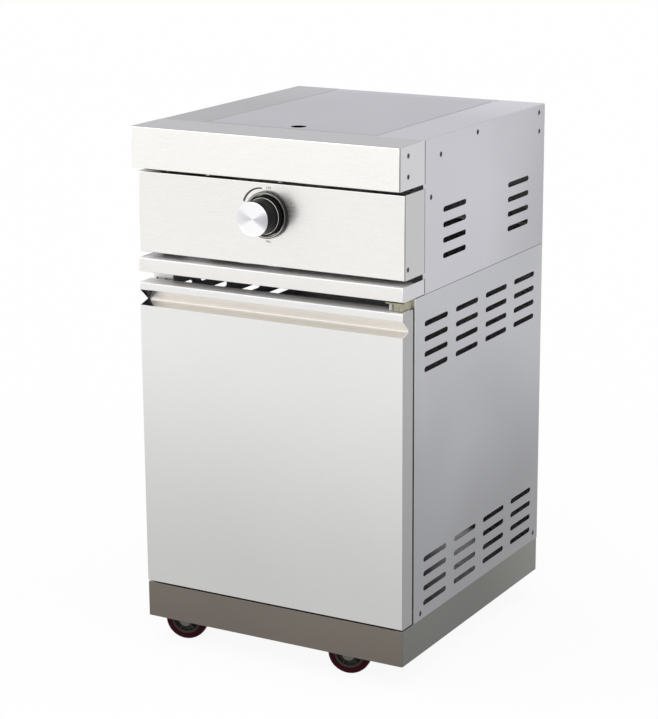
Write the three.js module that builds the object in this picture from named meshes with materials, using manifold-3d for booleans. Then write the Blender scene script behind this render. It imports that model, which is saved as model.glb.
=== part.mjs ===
// Side burner module of an outdoor kitchen island: a folded steel cabinet on four castors, with one door,
// one gas knob and a burner under a flush lid. Millimetres, X to the right, Y to the back, Z up.
// Inside the cabinet group Y is 0 at the door's front face and Z is 0 at the plinth's lower edge.
import * as THREE from "three";
import { mergeVertices } from "three/addons/utils/BufferGeometryUtils.js";
import Module from "manifold-3d";

const wasm = await Module();
wasm.setup();

// Overall sizes and the sheet that everything is folded from
const islandWidth = 500;
const islandDepth = 535;
const castorClearance = 42.5;
const sheet = 1;
const bendRadius = 2;
const seatGap = 0.3;
const overrun = 5;
const weldGap = 0.0005;

// Heights on the front, from the plinth up
const plinthHeight = 62;
const doorGap = 2.8;
const doorHeight = 532.8;
const hingeGap = 18;
const railHeight = 24.1;
const railGap = 9.3;
const panelHeight = 137;
const capGap = 7.5;
const capHeight = 69.7;
const seamBelowRail = 1.6;

// How far each front stands behind the door's face, and how deep each fold is
const capProud = 12;
const panelSetback = 6;
const jambSetback = 43;
const upperSetback = 76;
const tongueSetback = 10;
const joggle = 2;
const tongueRoot = 3;
const frontLip = 14;
const capLip = 12;
const jambWidth = 40;
const jambReturn = 12;
const sideFlange = 15;
const backFlange = 20;

// Plinth, floor and heat shield
const plinthSetback = 1;
const plinthCorner = 2.5;
const plinthSideFlange = 15;
const floorLap = 5;
const floorLip = 12;
const shieldRise = 34;
const shieldFront = 130;
const shieldLip = 12;

// Vent slots
const slotLength = 85;
const slotHeight = 9;
const slotPitch = 25.5;
const slotRows = 4;
const lowerColumns = 4;
const lowerColumnPitch = 114;
const upperColumns = 2;
const upperColumnPitch = 247;
const lowerSlotsBelowSeam = 48;
const lowerSlotsAbovePlinth = 26;
const upperSlotsAboveSeam = 51;
const backColumns = 2;
const backColumnPitch = 160;

// Hose hole in the back panel and its grommet
const hoseHoleRadius = 17;
const hoseHoleInset = 80;
const hoseHoleRise = 190;
const grommetBore = 11;
const grommetLip = 2.5;

// Deck and the well that the lid closes
const wellHalf = 160;
const wellFront = 80;
const rearStrip = 16;
const wellDrop = 26;
const wellLedge = 12;
const deckSide = 20;
const lidGap = 1.2;
const lidRearGap = 3.2;
const lidLip = 12;
const lidHem = 7;
const lidCorner = 3;
const fingerRadius = 13;
const fingerInset = 27;
const lidAxisInset = 8;
const lidAxisDrop = 6;
const lidPinRadius = 3;
const lidPinHead = 4.2;
const lidPinHeadThick = 2.5;
const lidPinReach = 4;
const bumperRadius = 4;

// Burner bowl
const rimGap = 1.7;
const bowlInset = 24;
const bowlEndInset = 20;
const bowlDepth = 70;
const bowlCorner = 30;
const bowlFillet = 12;

// Burner, flame ring, cap and electrode
const neckRadius = 22;
const collarRadius = 32;
const collarThick = 3;
const headRadius = 50;
const headRise = 24;
const headRim = 3;
const ringWall = 14;
const ringHeight = 14;
const ringTaper = 2;
const ringSpigot = 3;
const portCount = 20;
const portWidth = 2.6;
const portDepth = 8;
const burnerCapRadius = 47;
const burnerCapDome = 8;
const burnerCapEdge = 2;
const capSpigot = 4;
const tubeRadius = 14;
const throatRadius = 10;
const mouthRadius = 17;
const mouthBore = 14;
const mouthDepth = 25;
const mouthLength = 12;
const throatLength = 30;
const flareLength = 50;
const electrodeInset = 8;
const ceramicRadius = 3.5;
const ceramicDrop = 18;
const ceramicRise = 26;
const electrodeFlange = 6;
const electrodeFlangeThick = 2;
const sparkRadius = 1.2;
const sparkRise = 10;

// Pan support
const supportTop = 64;
const supportTip = 30;
const supportFoot = 118;
const supportBar = 7;
const supportDeep = 16;
const supportFinger = 7;
const supportRingRadius = 90;
const supportRingHeight = 7;

// Gas valve, its bracket and its fittings
const knobRise = 84.8;
const spindleHole = 12;
const bracketSheet = 1.5;
const bracketDepth = 16;
const bracketLeg = 24;
const bracketHalf = 42;
const bracketRise = 18;
const valveHalf = 17;
const valveRise = 13;
const valveLength = 32;
const bonnetRadius = 10;
const outletRadius = 6;
const outletLength = 12;
const inletRadius = 8;
const inletDrop = 14;
const spindleRadius = 4;
const spindleFlat = 1.2;
const spindleBuried = 12;
const spindleInKnob = 22;
const injectorRadius = 5;
const injectorLength = 16;
const injectorTip = 3;
const nippleNut = 9;
const nippleNutHeight = 10;
const nippleRadius = 5;
const nippleBarb = 1.5;
const nippleBarbs = 3;
const nippleBarbPitch = 8;

// Knob and bezel
const knobReach = 48;
const knobLift = 6;
const knobPush = 4;
const gripRadius = 29;
const gripTaper = 0.8;
const skirtRadius = 33;
const skirtHeight = 8;
const skirtChamfer = 1.5;
const trimRingRadius = 31.5;
const trimRingHeight = 2;
const knobCapRadius = 28.4;
const knobCapThick = 2.4;
const knobCapDish = 0.8;
const knobCapEdge = 1.2;
const bezelRadius = 38.5;
const bezelWall = 4;
const bezelHeight = 8;
const bezelFloor = 1.2;
const bezelOpening = 16;

// Door
const doorDepth = 35;
const grooveBelowTop = 12.4;
const grooveHeight = 27.4;
const grooveDepth = 24;
const grooveRootRise = 6.2;
const grooveLip = 9;
const linerLip = 10;
const pinInset = 14;
const pinSetback = 17;
const pinRadius = 3;
const pinHead = 6;
const pinHeadThick = 2;
const pinRise = 16;
const pinDrop = 8;
const washerRadius = 7;
const hingeSheet = 2;
const hingeTabGap = 12.5;
const hingeTabFront = 8;
const hingeSideInset = 6;
const hingeWidth = 32;
const hingeLegDrop = 26;
const hingeHoleDrop = 17;
const hingeHoleInset = 8;
const hingeHolePitch = 18;
const hingeHoleRadius = 2.2;
const strikeWidth = 24;
const strikeHeight = 60;
const strikeThick = 1.5;
const strikeInset = 10;
const strikeBelowTop = 60;
const catchGap = 0.5;
const catchHeight = 46;
const catchPole = 3;
const catchPoleProud = 0.6;

// Castors
const castorInset = 87.4;
const castorSetback = 41.6;
const castorRearSetback = 69;
const castorTrail = 29;
const castorPlate = 58;
const castorPlateCorner = 6;
const castorPlateThick = 2.5;
const castorBoltInset = 8;
const castorBoltRadius = 3;
const raceRadius = 21;
const raceHeight = 7.5;
const raceTaper = 3;
const kingPinRadius = 5;
const kingPinHead = 8;
const kingPinHeadThick = 3;
const crownThick = 3;
const crownHalf = 18;
const crownCorner = 8;
const legThick = 2.5;
const legClear = 2;
const lugRadius = 11;
const axleRadius = 4;
const axleHead = 7;
const axleHeadThick = 3;
const tyreRadius = 37.5;
const tyreWidth = 22;
const tyreDepth = 8.5;
const tyreShoulder = 3.5;
const tyreFlat = 12;
const hubRimDepth = 5;
const hubWeb = 6;
const hubBoss = 9;
const hubBossGap = 1;

// Angles and the number of faces on round forms
const castorRestTurn = (15 * Math.PI) / 180;
const bendSteps = 2;
const bowlSteps = 3;
const slotSteps = 3;
const fineSides = 28;
const midSides = 16;
const smallSides = 8;
const boltSides = 6;

// Heights and places that follow from the sizes above
const half = islandWidth / 2;
const doorBottom = plinthHeight + doorGap;
const doorTop = doorBottom + doorHeight;
const railBottom = doorTop + hingeGap;
const railTop = railBottom + railHeight;
const panelBottom = railTop + railGap;
const panelTop = panelBottom + panelHeight;
const capBottom = panelTop + capGap;
const deckTop = capBottom + capHeight;
const seam = railBottom - seamBelowRail;
const returnEnd = upperSetback - joggle - seatGap;
const tongueHalf = half - sheet - seatGap;
const floorHalf = tongueHalf - sheet - seatGap;
const wallEnd = islandDepth - sheet - seatGap;
const flangeEnd = islandDepth - backFlange - seatGap;
const wellRear = islandDepth - rearStrip;
const wellInner = wellHalf - wellLedge - seatGap;
const knobHeight = panelBottom + knobRise;
const panelBack = panelSetback + sheet;
const bracketRear = panelBack + seatGap + bracketDepth;
const valveRear = bracketRear + seatGap + valveLength;
const valveMiddle = valveRear - valveLength / 2;
const knobFront = panelSetback - knobReach;
const knobBack = panelSetback - knobLift;
const rimHeight = deckTop - wellDrop + seatGap;
const bowlFloor = rimHeight - bowlDepth + sheet;
const burnerY = (wellFront + wellRear) / 2;
const headBottom = bowlFloor + headRise;
const ringBottom = headBottom + headRim + seatGap;
const ringTop = ringBottom + ringHeight;
const lidRear = wellRear - lidRearGap;
const lidFront = wellFront + lidGap;
const lidHalf = wellHalf - lidGap;
const lidAxisY = lidRear - lidAxisInset;
const lidAxisZ = deckTop - lidAxisDrop;
const grooveTop = doorTop - grooveBelowTop;
const grooveBottom = grooveTop - grooveHeight;
const grooveRoot = grooveBottom + grooveRootRise;
const linerHalf = half - sheet - seatGap;
const castorTop = plinthHeight - sheet - seatGap;
const castorHeight = castorTop + castorClearance;
const axleDrop = castorHeight - tyreRadius;
const raceBottom = castorPlateThick + raceHeight;
const crownTop = raceBottom + seatGap;
const legInner = tyreWidth / 2 + legClear;
const grommetRear = islandDepth + seatGap + grommetLip;
const footprintMiddle = (knobFront + grommetRear) / 2;

const unitX = new THREE.Vector3(1, 0, 0);
const unitY = new THREE.Vector3(0, 1, 0);
const unitZ = new THREE.Vector3(0, 0, 1);

// Turns a three.js geometry into a solid that can be joined and cut.
function solidOf(geometry) {
  geometry.deleteAttribute("normal");
  geometry.deleteAttribute("uv");
  const merged = mergeVertices(geometry, weldGap);
  const corners = merged.index.array;
  const kept = [];
  for (let i = 0; i < corners.length; i += 3) {
    const [a, b, c] = [corners[i], corners[i + 1], corners[i + 2]];
    if (a !== b && b !== c && c !== a) kept.push(a, b, c);
  }
  return new wasm.Manifold(
    new wasm.Mesh({
      numProp: 3,
      vertProperties: merged.attributes.position.array,
      triVerts: new Uint32Array(kept),
    }),
  );
}

// Joins a list of solids into one.
function joined(...solids) {
  return solids.reduce((sum, solid) => sum.add(solid));
}

// Cuts each of a list of solids from a body.
function cut(body, ...solids) {
  return solids.reduce((rest, solid) => rest.subtract(solid), body);
}

function inset([low, high], by) {
  return [low + by, high - by];
}

function around(middle, by) {
  return [middle - by, middle + by];
}

// A span on the right of the module, or its mirror image on the left.
function sided(side, [low, high]) {
  return side > 0 ? [low, high] : [-high, -low];
}

// Points on a quarter circle, counted in quarter turns from the +X side.
function quarter(x, y, radius, turn, steps) {
  if (radius <= 0) return [new THREE.Vector2(x, y)];
  return Array.from({ length: steps + 1 }, (_, i) => {
    const angle = ((turn + i / steps) * Math.PI) / 2;
    return new THREE.Vector2(x + radius * Math.cos(angle), y + radius * Math.sin(angle));
  });
}

// A rectangle with a radius for each corner: low low, high low, high high, low high.
function rectangle([x0, x1], [y0, y1], radii = [0, 0, 0, 0], steps = bendSteps) {
  const [a, b, c, d] = radii;
  return [
    ...quarter(x0 + a, y0 + a, a, 2, steps),
    ...quarter(x1 - b, y0 + b, b, 3, steps),
    ...quarter(x1 - c, y1 - c, c, 0, steps),
    ...quarter(x0 + d, y1 - d, d, 1, steps),
  ];
}

function circle(x, y, radius, sides = smallSides) {
  return Array.from({ length: sides }, (_, i) => {
    const angle = ((i + 0.5) * 2 * Math.PI) / sides;
    return new THREE.Vector2(x + radius * Math.cos(angle), y + radius * Math.sin(angle));
  });
}

// A slot with round ends, centred on a point.
function slot(x, y) {
  const radius = slotHeight / 2;
  const reach = slotLength / 2 - radius;
  return [0, 1].flatMap((end) =>
    Array.from({ length: slotSteps + 1 }, (_, i) => {
      const angle = (end + i / slotSteps - 0.5) * Math.PI;
      const middle = x + (end ? -reach : reach);
      return new THREE.Vector2(middle + radius * Math.cos(angle), y + radius * Math.sin(angle));
    }),
  );
}

// The section of a sheet folded along a path, its thickness on the left of the way that the path runs.
function folded(path, thickness = sheet, radius = bendRadius) {
  const points = path.map(([x, y]) => new THREE.Vector2(x, y));
  const face = [];
  const back = [];
  const mark = (point, angle) => {
    const normal = new THREE.Vector2(-Math.sin(angle), Math.cos(angle));
    face.push(point);
    back.unshift(point.clone().addScaledVector(normal, thickness));
  };
  const heading = (i) => points[i + 1].clone().sub(points[i]).angle();
  mark(points[0], heading(0));
  for (let i = 1; i < points.length - 1; i++) {
    const before = heading(i - 1);
    let turn = heading(i) - before;
    if (turn > Math.PI) turn -= 2 * Math.PI;
    if (turn < -Math.PI) turn += 2 * Math.PI;
    const way = Math.sign(turn);
    const trim = radius * Math.tan(Math.abs(turn) / 2);
    const centre = points[i].clone();
    centre.x -= Math.cos(before) * trim + Math.sin(before) * way * radius;
    centre.y -= Math.sin(before) * trim - Math.cos(before) * way * radius;
    for (let k = 0; k <= bendSteps; k++) {
      const angle = before + (turn * k) / bendSteps;
      const x = centre.x + Math.sin(angle) * way * radius;
      const y = centre.y - Math.cos(angle) * way * radius;
      mark(new THREE.Vector2(x, y), angle);
    }
  }
  mark(points.at(-1), heading(points.length - 2));
  return [...face, ...back];
}

// The solid that an outline sweeps along one axis. The outline lies in the other two, in X, Y, Z order.
function prism(axis, outline, [from, to], holes = []) {
  const clean = (points) =>
    points.filter((p, i) => p.distanceTo(points[(i + 1) % points.length]) > weldGap);
  const shape = new THREE.Shape(clean(outline));
  shape.holes = holes.map((hole) => new THREE.Path(clean(hole)));
  const geometry = new THREE.ExtrudeGeometry(shape, { depth: to - from, bevelEnabled: false });
  const turn = new THREE.Matrix4();
  if (axis === "x") turn.makeBasis(unitY, unitZ, unitX).setPosition(from, 0, 0);
  if (axis === "y") turn.makeBasis(unitX, unitZ, unitY.clone().negate()).setPosition(0, to, 0);
  if (axis === "z") turn.setPosition(0, 0, from);
  return solidOf(geometry.applyMatrix4(turn));
}

function slab([x0, x1], [y0, y1], [z0, z1]) {
  const box = new THREE.BoxGeometry(x1 - x0, y1 - y0, z1 - z0);
  return solidOf(box.translate((x0 + x1) / 2, (y0 + y1) / 2, (z0 + z1) / 2));
}

// A block whose edges are rounded by its three outlines, seen from above, from the side and from the front.
function block(x, y, z, { plan, side, front }, steps = bendSteps) {
  let made = prism("z", rectangle(x, y, plan, steps), z);
  if (side) made = made.intersect(prism("x", rectangle(y, z, side, steps), x));
  if (front) made = made.intersect(prism("y", rectangle(x, z, front, steps), y));
  return made;
}

// A solid turned round an axis through a point, from a profile of [radius, distance along the axis].
function turned(axis, at, profile, sides = midSides) {
  const points = profile.map(([radius, along]) => new THREE.Vector2(radius, along));
  if (THREE.ShapeUtils.area(points) < 0) points.reverse();
  const onAxis = points[0].x === 0 && points.at(-1).x === 0;
  if (!onAxis) points.push(points[0].clone());
  const geometry = new THREE.LatheGeometry(points, sides, Math.PI / sides);
  if (axis === "z") geometry.rotateX(Math.PI / 2);
  if (axis === "x") geometry.rotateZ(-Math.PI / 2);
  return solidOf(geometry.translate(...at));
}

// Finishes
const brushed = { color: 0xcfcfd2, roughness: 0.34, metalness: 1 };
const finishes = {
  brushedSteel: brushed,
  satinSteel: { ...brushed, color: 0xb9bac0, roughness: 0.42 },
  darkSteel: { ...brushed, color: 0x6e6963, roughness: 0.5 },
  chrome: { ...brushed, color: 0xe4e4e6, roughness: 0.12 },
  silver: { ...brushed, color: 0xdcdce0, roughness: 0.25 },
  brass: { ...brushed, color: 0xb8975a, roughness: 0.35 },
  zinc: { ...brushed, color: 0xa8a79c, roughness: 0.45 },
  castIron: { color: 0x1c1c1d, roughness: 0.8, metalness: 0.1 },
  enamel: { color: 0x121213, roughness: 0.35, metalness: 0 },
  blackPlastic: { color: 0x161617, roughness: 0.4, metalness: 0 },
  greyPlastic: { color: 0x77736f, roughness: 0.55, metalness: 0 },
  whitePlastic: { color: 0xe6e4de, roughness: 0.5, metalness: 0 },
  ceramic: { color: 0xefede6, roughness: 0.3, metalness: 0 },
  rubber: { color: 0x1a1a1a, roughness: 0.85, metalness: 0 },
  redTyre: { color: 0x4a0f16, roughness: 0.6, metalness: 0 },
};

// Names a finished solid, gives it its finish and puts it in a group.
function piece(group, name, solid, finish) {
  const mesh = solid.getMesh();
  const geometry = new THREE.BufferGeometry();
  geometry.setAttribute("position", new THREE.BufferAttribute(mesh.vertProperties, mesh.numProp));
  geometry.setIndex(new THREE.BufferAttribute(mesh.triVerts, 1));
  geometry.computeVertexNormals();
  const material = new THREE.MeshStandardMaterial({ ...finishes[finish], flatShading: true });
  const made = new THREE.Mesh(geometry, material);
  made.name = name;
  group.add(made);
}

// Rows and columns of slot cutters for a wall whose outline plane holds the slots.
function slotCutters(axis, middle, columns, pitch, firstRow, through) {
  const cutters = [];
  for (let row = 0; row < slotRows; row++)
    for (let column = 0; column < columns; column++) {
      const along = middle + (column - (columns - 1) / 2) * pitch;
      cutters.push(prism(axis, slot(along, firstRow + row * slotPitch), through));
    }
  return cutters;
}

// Plinth: a skirt with a wide flange on top that carries the floor, the castors and the door's lower pin.
function plinth() {
  const x = [-half, half];
  const y = [plinthSetback, islandDepth];
  const corners = Array(4).fill(plinthCorner);
  const innerCorners = Array(4).fill(plinthCorner - sheet);
  const outline = rectangle(x, y, corners);
  const inside = rectangle(inset(x, sheet), inset(y, sheet), innerCorners);
  const skirt = prism("z", outline, [0, plinthHeight], [inside]);
  const openY = [
    castorSetback + castorPlate / 2 + floorLap,
    islandDepth - castorRearSetback - castorPlate / 2 - floorLap,
  ];
  const opening = rectangle(inset(x, plinthSideFlange), openY);
  const flange = prism("z", outline, [plinthHeight - sheet, plinthHeight], [opening]);
  const pinHoles = [-1, 1].map((side) => {
    const hole = circle(side * (half - pinInset), pinSetback, pinRadius + seatGap);
    return prism("z", hole, [0, plinthHeight + overrun]);
  });
  return cut(joined(skirt, flange), ...pinHoles);
}

function floorFront() {
  return jambSetback + jambReturn + seatGap;
}

// Floor: a tray with its lips turned up at the sides and the back.
function cabinetFloor() {
  const bottom = plinthHeight + seatGap;
  const path = [
    [-floorHalf, bottom + floorLip],
    [-floorHalf, bottom],
    [floorHalf, bottom],
    [floorHalf, bottom + floorLip],
  ];
  const tray = prism("y", folded(path), [floorFront(), wallEnd]);
  const rear = [wallEnd - sheet, wallEnd];
  const rearLip = slab(around(0, floorHalf - sheet), rear, [bottom, bottom + floorLip]);
  return joined(tray, rearLip);
}

// Lower side panel: wall, front jamb and the jamb's return in one fold, with two fields of vent slots.
function sidePanel(side) {
  const path = [
    [half - jambWidth, jambSetback + jambReturn],
    [half - jambWidth, jambSetback],
    [half, jambSetback],
    [half, islandDepth],
  ];
  const section = folded(path).map((p) => new THREE.Vector2(p.x * side, p.y));
  const wall = prism("z", section, [plinthHeight + seatGap, seam]);
  const flangeX = sided(side, [half - sideFlange, half - sheet / 2]);
  const flange = slab(flangeX, [jambSetback + jambReturn, flangeEnd], [seam - sheet, seam]);
  const through = sided(side, [half - sheet - overrun, half + overrun]);
  const middle = (jambSetback + islandDepth) / 2;
  const lowest = plinthHeight + lowerSlotsAbovePlinth;
  const upperField = seam - lowerSlotsBelowSeam - (slotRows - 1) * slotPitch;
  const holes = [0, 1].map((i) => {
    const x = side * (half - hingeHoleInset - i * hingeHolePitch);
    return prism("y", circle(x, seam - hingeHoleDrop, hingeHoleRadius), around(jambSetback, overrun));
  });
  return cut(
    joined(wall, flange),
    ...slotCutters("x", middle, lowerColumns, lowerColumnPitch, lowest, through),
    ...slotCutters("x", middle, lowerColumns, lowerColumnPitch, upperField, through),
    ...holes,
  );
}

// The fold of the deck's inner edge, down into the well and in to the ledge that carries the bowl.
function wellEdge(edge, inward) {
  return [
    [edge, deckTop],
    [edge, deckTop - wellDrop],
    [edge + inward * wellLedge, deckTop - wellDrop],
  ];
}

// The same fold where a neighbour's ledge is below it.
function wellWall(edge) {
  return [
    [edge, deckTop],
    [edge, deckTop - wellDrop + bendRadius],
  ];
}

// Upper side panel: wall with a joggled tongue for the front pieces, deck flange and well edge.
// The tongue is cut away where the gaps between the front pieces run round the side.
function upperPanel(side) {
  const path = [
    [tongueHalf, tongueSetback],
    [tongueHalf, upperSetback - joggle],
    [half, upperSetback],
    [half, islandDepth],
  ];
  const section = folded(path).map((p) => new THREE.Vector2(p.x * side, p.y));
  const wall = prism("z", section, [seam + seatGap, deckTop - bendRadius]);
  const top = [[half, deckTop - deckSide], [half, deckTop], ...wellEdge(wellHalf, -1)];
  const edge = folded(top).map((p) => new THREE.Vector2(p.x * side, p.y));
  const deck = prism("y", edge, [upperSetback, wallEnd]);
  const rearLap = slab(
    sided(side, [wellHalf, half - sheet]),
    [wallEnd - sheet, islandDepth],
    [deckTop - sheet, deckTop],
  );
  const flangeX = sided(side, [half - sideFlange, half - sheet / 2]);
  const flange = slab(flangeX, [upperSetback, flangeEnd], [seam + seatGap, seam + seatGap + sheet]);
  const through = sided(side, [half - sheet - overrun, half + overrun]);
  const middle = (upperSetback + islandDepth) / 2;
  const pinHole = prism(
    "x",
    circle(lidAxisY, lidAxisZ, lidPinRadius + seatGap),
    sided(side, around(wellHalf, overrun)),
  );
  const tongueX = sided(side, [tongueHalf - sheet - overrun, half]);
  const tongueY = [tongueSetback - overrun, upperSetback - joggle - tongueRoot];
  const gaps = [[railTop, panelBottom], [panelTop, capBottom]].map((z) => slab(tongueX, tongueY, z));
  return cut(
    joined(wall, deck, rearLap, flange),
    ...gaps,
    ...slotCutters("x", middle, upperColumns, upperColumnPitch, seam + upperSlotsAboveSeam, through),
    pinHole,
  );
}

// Back panel: flanged plate with vent slots, a hose hole and the strip of deck behind the lid.
function backPanel() {
  const path = [
    [-tongueHalf, islandDepth - backFlange],
    [-tongueHalf, islandDepth],
    [tongueHalf, islandDepth],
    [tongueHalf, islandDepth - backFlange],
  ];
  const plate = prism("z", folded(path, -sheet), [plinthHeight + seatGap, deckTop - sheet - seatGap]);
  const outer = [[islandDepth, deckTop - deckSide], [islandDepth, deckTop]];
  const ledge = prism("x", folded([...outer, ...wellEdge(wellRear, -1)]), around(0, wellInner));
  const strip = prism("x", folded([...outer, ...wellWall(wellRear)]), around(0, wellHalf - seatGap));
  const through = around(islandDepth, overrun);
  const lowest = plinthHeight + lowerSlotsAbovePlinth;
  const hose = circle(half - hoseHoleInset, plinthHeight + hoseHoleRise, hoseHoleRadius, midSides);
  return cut(
    joined(plate, strip, ledge),
    ...slotCutters("y", 0, backColumns, backColumnPitch, lowest, through),
    prism("y", hose, through),
  );
}

// Rubber ring in the hose hole, with a groove that grips the sheet.
function hoseGrommet() {
  const front = wallEnd;
  const rear = islandDepth + seatGap;
  const lip = hoseHoleRadius + grommetLip;
  const neck = hoseHoleRadius - seatGap;
  return turned("y", [half - hoseHoleInset, 0, plinthHeight + hoseHoleRise], [
    [grommetBore, front - grommetLip],
    [lip, front - grommetLip],
    [lip, front],
    [neck, front],
    [neck, rear],
    [lip, rear],
    [lip, rear + grommetLip],
    [grommetBore, rear + grommetLip],
  ]);
}

// A front piece is a shallow tray on its face: its sides run back over the tongues of the upper panels.
function frontTray(setback, z) {
  const corner = [bendRadius, bendRadius, 0, 0];
  const edge = [bendRadius, 0, 0, bendRadius];
  const reach = bendRadius - sheet;
  const x = [-half, half];
  const body = block(x, [setback, returnEnd], z, { plan: corner, side: edge });
  const inside = block(inset(x, sheet), [setback + sheet, returnEnd + overrun], inset(z, sheet), {
    plan: corner.map((r) => Math.min(r, reach)),
    side: edge.map((r) => Math.min(r, reach)),
  });
  return cut(body, inside);
}

// The opening behind a tray's upper or lower lip, and the notches that clear the tongues.
function lipOpening(setback, lip, z) {
  const notch = half - sheet;
  const clear = tongueHalf - sheet - seatGap;
  const rear = returnEnd + overrun;
  return joined(
    slab([-notch, notch], [setback + lip, rear], z),
    ...[-1, 1].map((side) => slab(sided(side, [clear, notch]), [tongueSetback - seatGap, rear], z)),
  );
}

// Rail between the door and the control panel.
function frontRail() {
  const z = [railBottom, railTop];
  return cut(frontTray(0, z), lipOpening(0, frontLip, inset(z, -overrun)));
}

// Control panel, with the hole that the valve's bonnet looks through.
function controlPanel() {
  const z = [panelBottom, panelTop];
  const hole = prism("y", circle(0, knobHeight, spindleHole, midSides), around(panelSetback, overrun));
  return cut(frontTray(panelSetback, z), lipOpening(panelSetback, frontLip, inset(z, -overrun)), hole);
}

// Front cap: the fascia, the front of the deck and the well's front edge.
function frontCap() {
  const tray = frontTray(-capProud, [capBottom, deckTop]);
  const opening = lipOpening(-capProud, capLip, [capBottom - overrun, capBottom + sheet]);
  const top = [deckTop - sheet, deckTop];
  const overlap = slab([-half, half], [returnEnd - sheet, upperSetback - seatGap], top);
  const start = [returnEnd - sheet, deckTop];
  const ledge = prism("x", folded([start, ...wellEdge(wellFront, 1)], -sheet), around(0, wellInner));
  const bridge = prism("x", folded([start, ...wellWall(wellFront)], -sheet), around(0, wellHalf - seatGap));
  return joined(cut(tray, opening), overlap, bridge, ledge);
}

// Heat shield between the burner and the bottle space.
function heatShield() {
  const top = seam + shieldRise;
  const path = [
    [-tongueHalf, top - shieldLip],
    [-tongueHalf, top],
    [tongueHalf, top],
    [tongueHalf, top - shieldLip],
  ];
  return prism("y", folded(path, -sheet), [shieldFront, flangeEnd]);
}

// Burner bowl: a pressed pan that hangs by its rim on the ledges of the well.
function burnerBowl() {
  const x = around(0, wellHalf - bowlInset);
  const y = [wellFront + bowlEndInset, wellRear - bowlEndInset];
  const z = [bowlFloor - sheet, rimHeight + sheet];
  const rounds = (by) => ({
    plan: Array(4).fill(bowlCorner - by),
    side: [bowlFillet - by, bowlFillet - by, 0, 0],
    front: [bowlFillet - by, bowlFillet - by, 0, 0],
  });
  const rimX = around(0, wellHalf - rimGap);
  const rim = slab(rimX, [wellFront + rimGap, wellRear - rimGap], [rimHeight, rimHeight + sheet]);
  const pan = block(x, y, z, rounds(0), bowlSteps);
  const inside = [bowlFloor, z[1] + overrun];
  const hollow = block(inset(x, sheet), inset(y, sheet), inside, rounds(sheet), bowlSteps);
  const drop = around(bowlFloor, overrun);
  const neck = prism("z", circle(0, burnerY, neckRadius + seatGap, portCount), drop);
  const spark = prism("z", circle(headRadius + electrodeInset, burnerY, ceramicRadius + seatGap), drop);
  return cut(joined(rim, pan), hollow, neck, spark);
}

// Burner casting: round head on a neck, and the mixing tube that runs forward to the injector.
function burnerBody() {
  const seat = bowlFloor + seatGap;
  const top = headBottom + headRim;
  const spigot = headRadius - ringWall - seatGap;
  const elbow = quarter(0, knobHeight, neckRadius, 3, bendSteps).map((p) => [p.x, p.y]);
  elbow[0][0] = 0;
  const head = turned("z", [0, burnerY, 0], [
    ...elbow,
    [neckRadius, seat],
    [collarRadius, seat],
    [collarRadius, seat + collarThick],
    [headRadius, headBottom],
    [headRadius, top],
    [spigot, top],
    [spigot, top + ringSpigot],
    [0, top + ringSpigot],
  ], portCount);
  const mouth = mouthStart();
  const throat = mouth + mouthLength + throatLength;
  const tube = turned("y", [0, 0, knobHeight], [
    [0, mouth + mouthDepth],
    [mouthBore, mouth + mouthDepth],
    [mouthBore, mouth],
    [mouthRadius, mouth],
    [mouthRadius, mouth + mouthLength + mouthDepth / 2],
    [throatRadius, throat],
    [tubeRadius, throat + flareLength],
    [tubeRadius, burnerY],
    [0, burnerY],
  ]);
  return joined(head, tube);
}

// The mixing tube's mouth stands round the injector's tip.
function mouthStart() {
  return valveRear + outletLength + seatGap + injectorLength - injectorRadius;
}

// Flame ring: a crown with slots cut through its upper edge.
function flameRing() {
  const inner = headRadius - ringWall;
  const ring = turned("z", [0, burnerY, 0], [
    [inner, ringBottom],
    [headRadius, ringBottom],
    [headRadius - ringTaper, ringTop],
    [inner, ringTop],
  ], portCount);
  const port = [-portWidth / 2, portWidth / 2];
  const ports = Array.from({ length: portCount }, (_, i) => {
    const cutter = new THREE.BoxGeometry(ringWall + 2 * overrun, port[1] - port[0], portDepth + overrun);
    cutter.translate(headRadius - ringWall / 2, 0, ringTop + (overrun - portDepth) / 2);
    cutter.rotateZ((i * 2 * Math.PI) / portCount);
    return solidOf(cutter.translate(0, burnerY, 0));
  });
  return cut(ring, ...ports);
}

// Enamelled cap on the flame ring.
function burnerCap() {
  const bottom = ringTop + seatGap;
  const spigot = headRadius - ringWall - seatGap;
  const domeShares = [[0.92, 0.55], [0.6, 0.9]];
  return turned("z", [0, burnerY, 0], [
    [0, bottom - capSpigot],
    [spigot, bottom - capSpigot],
    [spigot, bottom],
    [burnerCapRadius, bottom],
    [burnerCapRadius, bottom + burnerCapEdge],
    ...domeShares.map(([out, up]) => [burnerCapRadius * out, bottom + burnerCapDome * up]),
    [0, bottom + burnerCapDome],
  ], portCount);
}

// Spark electrode: a ceramic sleeve through the bowl, with its tip beside the flame ring.
function sparkElectrode() {
  const seat = bowlFloor + seatGap;
  const sleeveTop = bowlFloor + ceramicRise;
  return turned("z", [headRadius + electrodeInset, burnerY, 0], [
    [0, bowlFloor - ceramicDrop],
    [ceramicRadius, bowlFloor - ceramicDrop],
    [ceramicRadius, seat],
    [electrodeFlange, seat],
    [electrodeFlange, seat + electrodeFlangeThick],
    [ceramicRadius, seat + electrodeFlangeThick],
    [ceramicRadius, sleeveTop],
    [sparkRadius, sleeveTop],
    [sparkRadius, sleeveTop + sparkRise],
    [0, sleeveTop + sparkRise],
  ], smallSides);
}

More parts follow.
